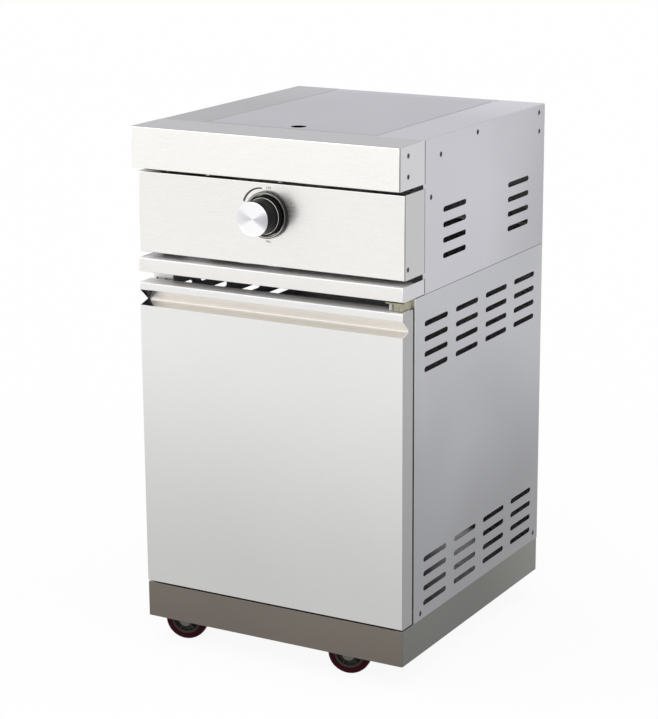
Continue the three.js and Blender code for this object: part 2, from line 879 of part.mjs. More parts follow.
// Pan support: four bars with their fingers over the burner and their feet in the bowl, and a ring.
function panSupport() {
  const foot = bowlFloor + seatGap;
  const top = bowlFloor + supportTop;
  const bar = [
    [supportTip, top],
    [supportFoot + supportBar, top],
    [supportFoot + supportBar, foot],
    [supportFoot, foot],
    [supportFoot, top - supportDeep],
    [supportRingRadius, top - supportDeep],
    [supportTip, top - supportFinger],
  ].map(([x, y]) => new THREE.Vector2(x, y));
  const arms = [0, 1, 2, 3].map((i) => {
    const shape = new THREE.Shape(bar);
    const arm = new THREE.ExtrudeGeometry(shape, { depth: supportBar, bevelEnabled: false });
    arm.translate(0, 0, -supportBar / 2).rotateX(Math.PI / 2);
    arm.rotateZ(((i + 0.5) * Math.PI) / 2).translate(0, burnerY, 0);
    return solidOf(arm);
  });
  const ringTopZ = top - supportFinger;
  const ring = turned("z", [0, burnerY, 0], [
    [supportRingRadius, ringTopZ - supportRingHeight],
    [supportRingRadius + supportBar, ringTopZ - supportRingHeight],
    [supportRingRadius + supportBar, ringTopZ],
    [supportRingRadius, ringTopZ],
  ], portCount);
  return joined(ring, ...arms);
}

// Bracket that holds the valve behind the control panel.
function valveBracket() {
  const front = panelBack + seatGap;
  const rear = bracketRear - bracketSheet;
  const path = [
    [-bracketHalf, front],
    [-bracketLeg, front],
    [-bracketLeg, rear],
    [bracketLeg, rear],
    [bracketLeg, front],
    [bracketHalf, front],
  ];
  const strap = prism("z", folded(path, bracketSheet), around(knobHeight, bracketRise));
  const hole = circle(0, knobHeight, bonnetRadius + seatGap, midSides);
  return cut(strap, prism("y", hole, around(rear, overrun)));
}

// Gas valve: bonnet through the bracket, block behind it, outlet to the rear and inlet below.
function gasValve() {
  const start = bracketRear + seatGap;
  const bodyBlock = slab(around(0, valveHalf), [start, valveRear], around(knobHeight, valveRise));
  const bonnet = turned("y", [0, 0, knobHeight], [
    [0, panelBack],
    [bonnetRadius, panelBack],
    [bonnetRadius, start + sheet],
    [0, start + sheet],
  ]);
  const outlet = turned("y", [0, 0, knobHeight], [
    [0, valveRear - sheet],
    [outletRadius, valveRear - sheet],
    [outletRadius, valveRear + outletLength],
    [0, valveRear + outletLength],
  ]);
  const boss = turned("z", [0, valveMiddle, 0], [
    [0, knobHeight - valveRise - inletDrop],
    [inletRadius, knobHeight - valveRise - inletDrop],
    [inletRadius, knobHeight - valveRise + sheet],
    [0, knobHeight - valveRise + sheet],
  ]);
  const bore = prism(
    "y",
    circle(0, knobHeight, spindleRadius + seatGap, midSides),
    [panelBack - overrun, start + spindleBuried],
  );
  return cut(joined(bodyBlock, bonnet, outlet, boss), bore);
}

// Injector screwed on the valve's outlet.
function injector() {
  const start = valveRear + outletLength + seatGap;
  const end = start + injectorLength;
  return turned("y", [0, 0, knobHeight], [
    [0, start],
    [injectorRadius, start],
    [injectorRadius, end - injectorRadius],
    [injectorTip, end],
    [0, end],
  ], smallSides);
}

// Hose nipple below the valve: nut and barbed tail.
function hoseNipple() {
  const top = knobHeight - valveRise - inletDrop - seatGap;
  const tail = top - nippleNutHeight;
  const barbs = [];
  for (let i = 0; i < nippleBarbs; i++) {
    const low = tail - (i + 1) * nippleBarbPitch;
    const high = low + nippleBarbPitch;
    barbs.push([nippleRadius, high], [nippleRadius + nippleBarb, high], [nippleRadius, low]);
  }
  return turned("z", [0, valveMiddle, 0], [
    [0, top],
    [nippleNut, top],
    [nippleNut, tail],
    ...barbs.slice(1),
    [0, tail - nippleBarbs * nippleBarbPitch],
  ], smallSides);
}

// The spindle's round section with a flat along part of it, made larger by a clearance for the knob's bore.
function keyedRod(clearance, y, flatEnd) {
  const round = prism("y", circle(0, knobHeight, spindleRadius + clearance, midSides), y);
  const flat = knobHeight + spindleRadius - spindleFlat + clearance;
  const above = [flat, flat + spindleRadius * 2];
  return cut(round, slab(around(0, spindleRadius * 2), [y[0] - overrun, flatEnd], above));
}

function valveSpindle() {
  const end = bracketRear + spindleBuried;
  return keyedRod(0, [knobBack - spindleInKnob, end], knobBack + knobPush + seatGap);
}

// Knob: a slightly tapered grip on a wider skirt, bored for the keyed end of the spindle.
function knobBody() {
  const front = knobFront + knobCapThick + seatGap;
  const skirtFront = knobBack - skirtHeight;
  const body = turned("y", [0, 0, knobHeight], [
    [0, knobBack],
    [skirtRadius, knobBack],
    [skirtRadius, skirtFront + skirtChamfer],
    [skirtRadius - skirtChamfer, skirtFront],
    [gripRadius, skirtFront],
    [gripRadius - gripTaper, front + knobCapEdge],
    [gripRadius - gripTaper - knobCapEdge, front],
    [0, front],
  ], fineSides);
  const bore = [knobBack - spindleInKnob - knobPush - seatGap, knobBack + overrun];
  return cut(body, keyedRod(seatGap, bore, knobBack + 2 * overrun));
}

// Bright ring in the step between grip and skirt.
function knobRing() {
  const rear = knobBack - skirtHeight - seatGap;
  return turned("y", [0, 0, knobHeight], [
    [gripRadius + seatGap, rear - trimRingHeight],
    [trimRingRadius, rear - trimRingHeight],
    [trimRingRadius, rear],
    [gripRadius + seatGap, rear],
  ], fineSides);
}

// Turned cap on the knob's face, slightly dished.
function knobCap() {
  const rear = knobFront + knobCapThick;
  return turned("y", [0, 0, knobHeight], [
    [0, knobFront + knobCapDish],
    [knobCapRadius - knobCapEdge, knobFront],
    [knobCapRadius, knobFront + knobCapEdge],
    [knobCapRadius, rear],
    [0, rear],
  ], fineSides);
}

// Bezel round the knob: a rolled ring with a thin floor on the panel.
function knobBezel() {
  const rear = panelSetback - seatGap;
  const front = rear - bezelHeight;
  const ring = bezelRadius - bezelWall;
  return turned("y", [0, 0, knobHeight], [
    [bezelOpening, rear],
    [bezelOpening, rear - bezelFloor],
    [ring, rear - bezelFloor],
    [ring, front],
    [bezelRadius - bezelWall / 3, front],
    [bezelRadius, front + bezelWall / 2],
    [bezelRadius, rear],
  ], fineSides);
}

// Lid: a shallow pan turned down at its edges, with a finger hole and holes for its pivot pins.
function lidPan() {
  const x = [-lidHalf, lidHalf];
  const y = [lidFront, lidRear];
  const z = [deckTop - lidLip, deckTop];
  const rounds = (by) => ({
    plan: Array(4).fill(lidCorner - by),
    side: [0, 0, bendRadius - by, bendRadius - by],
    front: [0, 0, bendRadius - by, bendRadius - by],
  });
  const pan = block(x, y, z, rounds(0));
  const hollow = block(inset(x, sheet), inset(y, sheet), inset(z, sheet), rounds(sheet));
  const opening = slab(inset(x, lidHem), inset(y, lidHem), [z[0] - overrun, z[0] + 2 * sheet]);
  const fingerHole = circle(0, lidFront + fingerInset, fingerRadius, midSides);
  const finger = prism("z", fingerHole, around(deckTop, overrun));
  const pins = prism("x", circle(lidAxisY, lidAxisZ, lidPinRadius + seatGap), inset(x, -overrun));
  return cut(pan, hollow, opening, finger, pins);
}

// Pivot pin of the lid, its head inside the lid's lip.
function lidPin(side) {
  const inner = lidHalf - sheet - seatGap;
  const profile = [
    [0, inner - lidPinHeadThick],
    [lidPinHead, inner - lidPinHeadThick],
    [lidPinHead, inner],
    [lidPinRadius, inner],
    [lidPinRadius, wellHalf + sheet + lidPinReach],
    [0, wellHalf + sheet + lidPinReach],
  ].map(([radius, along]) => [radius, along * side]);
  return turned("x", [0, lidAxisY, lidAxisZ], profile, smallSides);
}

// Rubber bumper under the lid's front corner, on the bowl's rim.
function lidBumper(side) {
  const bottom = rimHeight + sheet + seatGap;
  const top = deckTop - lidLip - seatGap;
  const place = [side * (wellHalf - rimGap - bumperRadius), wellFront + rimGap + bumperRadius, 0];
  return turned("z", place, [
    [0, bottom],
    [bumperRadius, bottom],
    [bumperRadius, top],
    [0, top],
  ], smallSides);
}

// Door skin: a deep tray on its face with the finger groove cut through its face and cheeks.
function doorSkin() {
  const x = [-half, half];
  const z = [doorBottom, doorTop];
  const corner = [bendRadius, bendRadius, 0, 0];
  const edge = [bendRadius, 0, 0, bendRadius];
  const reach = bendRadius - sheet;
  const tray = block(x, [0, doorDepth], z, { plan: corner, side: edge });
  const hollow = block(inset(x, sheet), [sheet, doorDepth + overrun], inset(z, sheet), {
    plan: corner.map((r) => Math.min(r, reach)),
    side: edge.map((r) => Math.min(r, reach)),
  });
  const groove = [
    [-overrun, grooveTop],
    [0, grooveTop],
    [grooveDepth, grooveRoot],
    [0, grooveBottom],
    [-overrun, grooveBottom],
  ].map(([y, h]) => new THREE.Vector2(y, h));
  const pins = circle(half - pinInset, pinSetback, pinRadius + seatGap);
  return cut(tray, hollow, prism("x", groove, inset(x, -overrun)), prism("z", pins, inset(z, -overrun)));
}

// Folded profile behind the finger groove, with a lip above and below it.
function handleProfile() {
  const front = sheet + seatGap;
  const path = [
    [front, grooveTop + grooveLip],
    [front, grooveTop],
    [grooveDepth, grooveRoot],
    [front, grooveBottom],
    [front, grooveBottom - grooveLip],
  ];
  return prism("x", folded(path), [-linerHalf, linerHalf]);
}

// Door liner: the tray that closes the door's back.
function doorLiner() {
  const x = [-linerHalf, linerHalf];
  const z = inset([doorBottom, doorTop], sheet + seatGap);
  const tray = slab(x, [doorDepth - linerLip, doorDepth], z);
  const inside = [doorDepth - linerLip - overrun, doorDepth - sheet];
  const hollow = slab(inset(x, sheet), inside, inset(z, sheet));
  return cut(tray, hollow);
}

// Hinge pins: a head inside the door and a shank through its wall.
function upperPin() {
  const head = doorTop - sheet - seatGap;
  return turned("z", [half - pinInset, pinSetback, 0], [
    [0, head - pinHeadThick],
    [pinHead, head - pinHeadThick],
    [pinHead, head],
    [pinRadius, head],
    [pinRadius, doorTop + pinRise],
    [0, doorTop + pinRise],
  ], smallSides);
}

function lowerPin() {
  const head = doorBottom + sheet + seatGap;
  return turned("z", [half - pinInset, pinSetback, 0], [
    [0, plinthHeight - pinDrop],
    [pinRadius, plinthHeight - pinDrop],
    [pinRadius, head],
    [pinHead, head],
    [pinHead, head + pinHeadThick],
    [0, head + pinHeadThick],
  ], smallSides);
}

function hingeWasher() {
  return turned("z", [half - pinInset, pinSetback, 0], [
    [pinRadius + seatGap, plinthHeight + seatGap],
    [washerRadius, plinthHeight + seatGap],
    [washerRadius, doorBottom - seatGap],
    [pinRadius + seatGap, doorBottom - seatGap],
  ], smallSides);
}

// Upper hinge bracket: an angle on the jamb whose tab reaches over the door and takes the pin.
function hingeBracket() {
  const x = [half - hingeSideInset - hingeWidth, half - hingeSideInset];
  const rear = jambSetback - seatGap;
  const tabBottom = doorTop + hingeTabGap;
  const leg = slab(x, [rear - hingeSheet, rear], [doorTop - hingeLegDrop, tabBottom + hingeSheet]);
  const tab = block(x, [hingeTabFront, rear], [tabBottom, tabBottom + hingeSheet], {
    plan: [hingeSheet * 2, hingeSheet * 2, 0, 0],
  });
  const pinHole = circle(half - pinInset, pinSetback, pinRadius + seatGap);
  const pin = prism("z", pinHole, around(tabBottom, overrun));
  const screws = [0, 1].map((i) => {
    const at = half - hingeHoleInset - i * hingeHolePitch;
    return prism("y", circle(at, seam - hingeHoleDrop, hingeHoleRadius), around(jambSetback, overrun));
  });
  return cut(joined(leg, tab), pin, ...screws);
}

// Strike plate on the door liner and the magnet catch on the left jamb.
function strikePlate() {
  const x = [strikeInset - half, strikeInset + strikeWidth - half];
  const middle = doorTop - strikeBelowTop;
  const y = [doorDepth + seatGap, doorDepth + seatGap + strikeThick];
  return slab(x, y, around(middle, strikeHeight / 2));
}

function magnetCatch() {
  const front = doorDepth + seatGap + strikeThick + catchGap;
  const x = [strikeInset - half, strikeInset + strikeWidth - half];
  const z = around(doorTop - strikeBelowTop, catchHeight / 2);
  const body = slab(x, [front + catchPoleProud, jambSetback - seatGap], z);
  const poles = [1, 2].map((i) => {
    const at = x[0] + (i * strikeWidth) / 3;
    return slab(around(at, catchPole / 2), [front, jambSetback - seatGap], inset(z, catchPole));
  });
  return joined(body, ...poles);
}

// Castor plate with its race and king pin. Castor pieces hang from Z 0 at the plate's top face.
function castorPlateSolid() {
  const span = around(0, castorPlate / 2);
  const corners = Array(4).fill(castorPlateCorner);
  const bolt = castorPlate / 2 - castorBoltInset;
  const holes = [[-1, -1], [1, -1], [1, 1], [-1, 1]].map(([i, j]) =>
    circle(i * bolt, j * bolt, castorBoltRadius, boltSides),
  );
  const plate = prism("z", rectangle(span, span, corners, 1), [-castorPlateThick, 0], holes);
  const head = crownTop + crownThick + seatGap;
  const race = turned("z", [0, 0, 0], [
    [0, -sheet],
    [raceRadius, -sheet],
    [raceRadius - raceTaper, -raceBottom],
    [kingPinRadius, -raceBottom],
    [kingPinRadius, -head],
    [kingPinHead, -head],
    [kingPinHead, -head - kingPinHeadThick],
    [0, -head - kingPinHeadThick],
  ], smallSides);
  return joined(plate, race);
}

// Fork: crown, two tapering legs and the riveted axle.
function castorFork() {
  const outer = legInner + legThick;
  const crown = prism(
    "z",
    rectangle(around(0, crownHalf), around(0, outer), Array(4).fill(crownCorner), 1),
    [-crownTop - crownThick, -crownTop],
  );
  const lug = circle(castorTrail, -axleDrop, lugRadius).filter((p) => p.y < -axleDrop + lugRadius / 2);
  const shoulder = crownHalf - crownCorner / 2;
  const outline = [
    new THREE.Vector2(shoulder, -crownTop - crownThick / 2),
    new THREE.Vector2(-shoulder, -crownTop - crownThick / 2),
    new THREE.Vector2(-shoulder, -crownTop - crownThick - crownCorner),
    ...lug.sort((a, b) => spin(a) - spin(b)),
    new THREE.Vector2(crownHalf + crownCorner, -crownTop - crownThick - crownCorner * 2),
  ];
  const legs = [-1, 1].map((side) => prism("y", outline, sided(side, [legInner, outer])));
  const heads = outer + axleHeadThick;
  const axle = turned("y", [castorTrail, 0, -axleDrop], [
    [0, -heads],
    [axleHead, -heads],
    [axleHead, -outer + sheet / 2],
    [axleRadius, -outer + sheet / 2],
    [axleRadius, outer - sheet / 2],
    [axleHead, outer - sheet / 2],
    [axleHead, heads],
    [0, heads],
  ], smallSides);
  const pin = prism("z", circle(0, 0, kingPinRadius + seatGap, midSides), around(-crownTop, overrun));
  return cut(joined(crown, ...legs, axle), pin);
}

// How far round the lug a point lies, counted from its rear and going down.
function spin(point) {
  const angle = Math.atan2(point.y + axleDrop, point.x - castorTrail);
  return (angle + 2 * Math.PI + Math.PI / 2) % (2 * Math.PI) < Math.PI ? angle : angle - 2 * Math.PI;
}

// Hub with boss, web and rim, and the tyre that is moulded on it.
function castorHub() {
  const rim = tyreRadius - tyreDepth - seatGap;
  const boss = legInner - hubBossGap;
  const rimHalf = tyreWidth / 2 - hubBossGap;
  const web = hubWeb / 2;
  const edge = [
    [hubBoss, boss],
    [rim - hubRimDepth, web],
    [rim - hubRimDepth, rimHalf],
    [rim, rimHalf],
  ];
  const mirror = edge.map(([radius, along]) => [radius, -along]).reverse();
  const bore = axleRadius + seatGap;
  return turned("y", [castorTrail, 0, -axleDrop], [[bore, boss], ...edge, ...mirror, [bore, -boss]]);
}

function castorTyre() {
  const grow = 1 / Math.cos(Math.PI / midSides);
  const halfWidth = tyreWidth / 2;
  const inner = tyreRadius - tyreDepth;
  const edge = [
    [inner, halfWidth],
    [tyreRadius - tyreShoulder, halfWidth],
    [tyreRadius * grow, tyreFlat / 2],
  ];
  const mirror = edge.map(([radius, along]) => [radius, -along]).reverse();
  return turned("y", [castorTrail, 0, -axleDrop], [...edge, ...mirror]);
}

// The module, put together. Its own frame stands on the floor under the middle of its footprint.
const island = new THREE.Group();
const cabinet = new THREE.Group();
cabinet.position.set(0, -footprintMiddle, castorClearance);
island.add(cabinet);

piece(cabinet, "plinth", plinth(), "darkSteel");
piece(cabinet, "cabinet_floor", cabinetFloor(), "satinSteel");
piece(cabinet, "left_side_panel", sidePanel(-1), "satinSteel");
piece(cabinet, "right_side_panel", sidePanel(1), "satinSteel");
piece(cabinet, "upper_left_panel", upperPanel(-1), "satinSteel");
piece(cabinet, "upper_right_panel", upperPanel(1), "satinSteel");
piece(cabinet, "back_panel", backPanel(), "satinSteel");
piece(cabinet, "hose_grommet", hoseGrommet(), "rubber");
piece(cabinet, "front_rail", frontRail(), "brushedSteel");
piece(cabinet, "control_panel", controlPanel(), "brushedSteel");
piece(cabinet, "front_cap", frontCap(), "brushedSteel");
piece(cabinet, "heat_shield", heatShield(), "satinSteel");
piece(cabinet, "upper_hinge_bracket", hingeBracket(), "zinc");
piece(cabinet, "hinge_washer", hingeWasher(), "whitePlastic");
piece(cabinet, "magnet_catch", magnetCatch(), "whitePlastic");

piece(cabinet, "burner_bowl", burnerBowl(), "satinSteel");
piece(cabinet, "burner_body", burnerBody(), "castIron");
piece(cabinet, "flame_ring", flameRing(), "brass");
piece(cabinet, "burner_cap", burnerCap(), "enamel");
piece(cabinet, "spark_electrode", sparkElectrode(), "ceramic");
piece(cabinet, "pan_support", panSupport(), "castIron");
piece(cabinet, "valve_bracket", valveBracket(), "zinc");
piece(cabinet, "gas_valve", gasValve(), "brass");
piece(cabinet, "injector", injector(), "brass");
piece(cabinet, "hose_nipple", hoseNipple(), "brass");
piece(cabinet, "lid_bumper_left", lidBumper(-1), "rubber");
piece(cabinet, "lid_bumper_right", lidBumper(1), "rubber");

const knob = new THREE.Group();
cabinet.add(knob);
piece(cabinet, "knob_bezel", knobBezel(), "chrome");
piece(knob, "valve_spindle", valveSpindle(), "brass");
piece(knob, "knob_body", knobBody(), "blackPlastic");
piece(knob, "knob_ring", knobRing(), "chrome");
piece(knob, "knob_cap", knobCap(), "silver");

const lid = new THREE.Group();
cabinet.add(lid);
piece(lid, "lid", lidPan(), "brushedSteel");
piece(lid, "lid_pin_left", lidPin(-1), "zinc");
piece(lid, "lid_pin_right", lidPin(1), "zinc");

const door = new THREE.Group();
cabinet.add(door);
piece(door, "door_skin", doorSkin(), "brushedSteel");
piece(door, "door_handle_profile", handleProfile(), "brushedSteel");
piece(door, "door_liner", doorLiner(), "satinSteel");
piece(door, "upper_hinge_pin", upperPin(), "zinc");
piece(door, "lower_hinge_pin", lowerPin(), "zinc");
piece(door, "strike_plate", strikePlate(), "zinc");

const castorSpots = {
  front_left: [castorInset - half, castorSetback],
  front_right: [half - castorInset, castorSetback],
  rear_left: [castorInset - half, islandDepth - castorRearSetback],
  rear_right: [half - castorInset, islandDepth - castorRearSetback],
};
for (const [spot, [x, y]] of Object.entries(castorSpots)) {
  const castor = new THREE.Group();
  castor.position.set(x, y, castorTop);
  const swivel = new THREE.Group();
  swivel.rotation.z = Math.PI + castorRestTurn;
  castor.add(swivel);
  cabinet.add(castor);
  piece(castor, `${spot}_castor_plate`, castorPlateSolid(), "zinc");
  piece(swivel, `${spot}_castor_fork`, castorFork(), "zinc");
  piece(swivel, `${spot}_castor_hub`, castorHub(), "greyPlastic");
  piece(swivel, `${spot}_castor_tyre`, castorTyre(), "redTyre");
}

export default island;
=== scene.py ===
import math

import bpy
from mathutils import Matrix, Vector


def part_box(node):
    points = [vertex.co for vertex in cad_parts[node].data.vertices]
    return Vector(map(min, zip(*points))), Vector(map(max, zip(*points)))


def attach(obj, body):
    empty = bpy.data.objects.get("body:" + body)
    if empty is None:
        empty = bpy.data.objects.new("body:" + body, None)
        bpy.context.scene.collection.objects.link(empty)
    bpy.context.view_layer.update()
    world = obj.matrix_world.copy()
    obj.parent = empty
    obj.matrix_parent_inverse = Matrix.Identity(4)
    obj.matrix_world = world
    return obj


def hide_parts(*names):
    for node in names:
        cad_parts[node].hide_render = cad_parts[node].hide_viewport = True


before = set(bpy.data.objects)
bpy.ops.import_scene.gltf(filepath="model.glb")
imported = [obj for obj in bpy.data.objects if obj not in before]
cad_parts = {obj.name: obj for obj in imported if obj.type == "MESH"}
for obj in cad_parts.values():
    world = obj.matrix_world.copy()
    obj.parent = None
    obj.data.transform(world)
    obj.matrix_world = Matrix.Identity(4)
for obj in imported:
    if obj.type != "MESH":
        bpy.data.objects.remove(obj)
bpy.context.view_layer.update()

# Plinth: a skirt of stainless sheet under the cabinet, folded over at the top into the flange that
# carries everything. It is a duller sheet than the fronts, with soft folds and no polish.
def new_finish(name):
    """A new material, with its node tree and its shader."""
    made = bpy.data.materials.new(name)
    made.use_nodes = True
    return made, made.node_tree, made.node_tree.nodes["Principled BSDF"]


def feed(tree, node, sources):
    """Gives each named socket of a node its value, or joins it to another node's socket."""
    for socket, source in sources.items():
        if isinstance(source, bpy.types.NodeSocket):
            tree.links.new(source, node.inputs[socket])
        else:
            node.inputs[socket].default_value = source


def wired(tree, kind, sources=None, **settings):
    """Adds a shader node with its settings and feeds it."""
    node = tree.nodes.new("ShaderNode" + kind)
    for setting, value in settings.items():
        setattr(node, setting, value)
    feed(tree, node, sources or {})
    return node


def ranged(tree, reading, from_low, from_high, to_low=0, to_high=1, curve="LINEAR"):
    """Carries a reading from one range over to another."""
    ends = {"From Min": from_low, "From Max": from_high, "To Min": to_low, "To Max": to_high}
    return wired(tree, "MapRange", {"Value": reading, **ends}, interpolation_type=curve).outputs[0]


def mottle(tree, scale, detail, vector):
    """Reads a soft noise of this scale and detail."""
    return wired(tree, "TexNoise", {"Scale": scale, "Detail": detail, "Vector": vector}).outputs["Fac"]


def sheet_steel(name, front, side, top, roughness, grain="x", cloud=0.03, low=(0, 1), high=(1, 1),
                rear=(1, 1), bend=1, top_metal=1):
    """Brushed sheet: grain along one axis, a slow drift of tone, and a greyer tone on sides and top that is
    painted shade.

    low and high are heights with the share of the tone that is left there, a painted shade that makes
    the fronts darker towards the floor, and rear gives the share that is left of the side's and the top's
    tone at the back, painted shade where it is below one and painted light where it is above one. bend is
    the share that is left on the upright bends, a painted shade line there, and top_metal is how much of a
    mirror the upward faces are, where the sheet has kept its dull mill skin.
    """
    rear_start, rear_end = 0.05, 0.29
    along_grain, across_grain = 40, 2400
    made, tree, shader = new_finish(name)
    place = wired(tree, "TexCoord")
    facing = wired(tree, "SeparateXYZ", {0: place.outputs["Normal"]})
    where = wired(tree, "SeparateXYZ", {0: place.outputs["Object"]})
    sideways, forward = [wired(tree, "Math", {0: facing.outputs[a]}, operation="ABSOLUTE") for a in "XY"]
    colour = (*front, 1)
    # painted shade: the side and the top take their own tones, darker than the front, and depth fades them
    # towards the back
    for reading, tone, left_over in (
        (sideways.outputs[0], side, rear[0]),
        (facing.outputs["Z"], top, rear[1]),
    ):
        depth = ranged(tree, where.outputs["Y"], rear_start, rear_end, 1, left_over)
        painted_face_tone = wired(tree, "VectorMath", {0: tone, "Scale": depth}, operation="SCALE")
        share = ranged(tree, reading, 0.35, 0.85)
        mix = wired(tree, "Mix", {6: colour, 7: painted_face_tone.outputs[0], "Factor": share}, data_type="RGBA")
        colour = mix.outputs[2]
    # painted shade: the tone falls off towards the floor between the heights low and high
    level = ranged(tree, where.outputs["Z"], low[0], high[0], low[1], high[1], "SMOOTHSTEP")
    stretch = wired(tree, "Mapping", {
        "Scale": [along_grain if a == grain else across_grain for a in "xyz"],
        "Vector": place.outputs["Object"],
    })
    lines = mottle(tree, 1, 3, stretch.outputs[0])
    slow = mottle(tree, 3.4, 1.5, place.outputs["Object"])
    for noise, low_end, high_end, swing in ((lines, 0.25, 0.75, 0.035), (slow, 0.32, 0.68, cloud)):
        part = ranged(tree, noise, low_end, high_end, 1 - swing, 1 + swing)
        level = wired(tree, "Math", {0: level, 1: part}, operation="MULTIPLY").outputs[0]
    # painted shade: a darker line where the sheet turns through an upright bend
    if bend < 1:
        bent = wired(tree, "Math", {0: sideways.outputs[0], 1: forward.outputs[0]}, operation="MULTIPLY")
        painted_bend_shade = ranged(tree, bent.outputs[0], 0.03, 0.28, 1, bend, "SMOOTHSTEP")
        level = wired(tree, "Math", {0: level, 1: painted_bend_shade}, operation="MULTIPLY").outputs[0]
    tint = wired(tree, "VectorMath", {0: colour, "Scale": level}, operation="SCALE")
    relief = wired(tree, "Bump", {"Strength": 0.1, "Distance": 0.0002, "Height": lines})
    feed(tree, shader, {
        "Metallic": ranged(tree, share, 0, 1, 1, top_metal) if top_metal < 1 else 1,
        "Base Color": tint.outputs[0],
        "Roughness": ranged(tree, lines, 0, 1, roughness - 0.05, roughness + 0.07),
        "Normal": relief.outputs[0],
    })
    return made


def only(*pieces):
    """Selects these pieces and nothing else, the last of them active."""
    bpy.ops.object.select_all(action="DESELECT")
    for piece in pieces:
        piece.select_set(True)
        bpy.context.view_layer.objects.active = piece


def worked_from(node, name):
    """A new piece that starts as a CAD node's own sheet, with its loose triangles merged to faces."""
    piece = bpy.data.objects.new(name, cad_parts[node].data.copy())
    piece.data.materials.clear()
    bpy.context.scene.collection.objects.link(piece)
    only(piece)
    bpy.ops.object.mode_set(mode="EDIT")
    bpy.ops.mesh.select_all(action="SELECT")
    bpy.ops.mesh.remove_doubles(threshold=0.00001)
    bpy.ops.mesh.dissolve_limited(angle_limit=math.radians(0.5))
    bpy.ops.object.mode_set(mode="OBJECT")
    return piece


def rounded(piece, edge, steps=2):
    """Rounds every sharp edge of a piece."""
    only(piece)
    soft = piece.modifiers.new("rounded_edges", "BEVEL")
    soft.width, soft.segments = edge, steps
    soft.limit_method, soft.angle_limit = "ANGLE", math.radians(32)
    bpy.ops.object.modifier_apply(modifier=soft.name)


def finished(piece, look, body, stands_for=(), flat=35):
    """Shades the rounds smooth, and gives the piece its finish, its body and the nodes it stands for."""
    only(piece)
    bpy.ops.object.shade_smooth_by_angle(angle=math.radians(flat))
    level = piece.modifiers.new("level_faces", "WEIGHTED_NORMAL")
    level.mode, level.weight, level.keep_sharp = "FACE_AREA", 100, True
    bpy.ops.object.modifier_apply(modifier=level.name)
    piece.data.materials.clear()
    piece.data.materials.append(look)
    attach(piece, body)
    if stands_for:
        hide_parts(*stands_for)
    return piece


def from_sheet(node, name, look, body, edge, steps=2):
    """A CAD node's shape with rounded edges and its finish, in the node's place."""
    piece = worked_from(node, name)
    rounded(piece, edge, steps)
    return finished(piece, look, body, (node,))


# the round on folded and turned edges, well under half of the 1 mm sheet
fine_edge = 0.0003
# painted shade and painted light: the plinth darkens a little towards the floor, and its sides grow lighter
# towards the back
plinth_steel = sheet_steel("plinth_steel", (0.162, 0.142, 0.124), (0.130, 0.129, 0.120), (0.36, 0.35, 0.33),
                           0.36, "x", 0.05, (0.04, 0.96), (0.105, 1.04), (1.45, 1))
from_sheet("plinth", "plinth_skirt", plinth_steel, "cabinet", fine_edge)


# Castors, four times: a galvanised plate with a ball race, a pressed fork, and a wheel of dark red
# polyurethane moulded on a grey-brown nylon hub, held by a bolt and a nut through the fork.
def cast_or_moulded(name, colour, roughness, metallic=0.0, scale=400, swing=0.1, relief_share=0.2, coat=0.0,
                    gloss=0.5):
    """A moulded, plated or cast finish: one tone that varies a little, with a fine relief."""
    made, tree, shader = new_finish(name)
    place = wired(tree, "TexCoord")
    speck = mottle(tree, scale, 4, place.outputs["Object"])
    tone = ranged(tree, speck, 0.3, 0.7, 1 - swing, 1 + swing)
    tint = wired(tree, "VectorMath", {0: colour, "Scale": tone}, operation="SCALE")
    relief = wired(tree, "Bump", {"Strength": relief_share, "Distance": 0.0002, "Height": speck})
    feed(tree, shader, {
        "Metallic": metallic,
        "Coat Weight": coat,
        "Specular IOR Level": gloss,
        "Base Color": tint.outputs[0],
        "Roughness": ranged(tree, speck, 0, 1, max(roughness - 0.06, 0.04), roughness + 0.08),
        "Normal": relief.outputs[0],
    })
    return made


def primitive(kind, name, **size):
    """Adds one of the mesh primitives with nothing else selected."""
    bpy.ops.object.select_all(action="DESELECT")
    getattr(bpy.ops.mesh, f"primitive_{kind}_add")(**size)
    bpy.context.object.name = name
    return bpy.context.object


def block(name, low, high):
    """A block of sheet or bar between two corners, with its place in its mesh."""
    middle = [(a + b) / 2 for a, b in zip(low, high)]
    piece = primitive("cube", name, size=1, location=middle)
    piece.scale = [b - a for a, b in zip(low, high)]
    bpy.ops.object.transform_apply(location=True, rotation=True, scale=True)
    return piece


def spun(name, profile, centre, axis, turns=64):
    """Turns a profile of radius and distance along the axis into a round piece."""
    centre, axis = Vector(centre), Vector(axis).normalized()
    out = axis.cross(Vector((0, 0, 1)) if abs(axis.z) < 0.9 else Vector((0, 1, 0))).normalized()
    spots = [centre + out * radius + axis * along for radius, along in profile]
    piece = primitive("plane", name, size=0.001, location=(0, 0, 0))
    bpy.ops.object.mode_set(mode="EDIT")
    bpy.ops.mesh.select_all(action="SELECT")
    bpy.ops.mesh.merge(type="CENTER")
    bpy.ops.transform.translate(value=spots[0])
    for here, there in zip(spots, spots[1:]):
        bpy.ops.mesh.extrude_vertices_move(TRANSFORM_OT_translate={"value": there - here})
    bpy.ops.mesh.select_all(action="SELECT")
    bpy.ops.mesh.spin(steps=turns, angle=math.tau, center=centre, axis=axis)
    bpy.ops.mesh.select_all(action="SELECT")
    bpy.ops.mesh.remove_doubles(threshold=0.000002)
    bpy.ops.mesh.normals_make_consistent(inside=False)
    bpy.ops.object.mode_set(mode="OBJECT")
    return piece


def copied(piece, name, move):
    """A copy with a mesh of its own, moved by a shift or a matrix."""
    copy = bpy.data.objects.new(name, piece.data.copy())
    bpy.context.scene.collection.objects.link(copy)
    copy.data.transform(move if isinstance(move, Matrix) else Matrix.Translation(move))
    return copy


def joined(name, *pieces):
    """Several pieces made one, under this name."""
    only(*pieces)
    bpy.ops.object.join()
    bpy.context.object.name = name
    return bpy.context.object


def mirrored(profile):
    """The other half of a profile that is the same on both sides of the wheel."""
    return [(radius, -along) for radius, along in reversed(profile)]
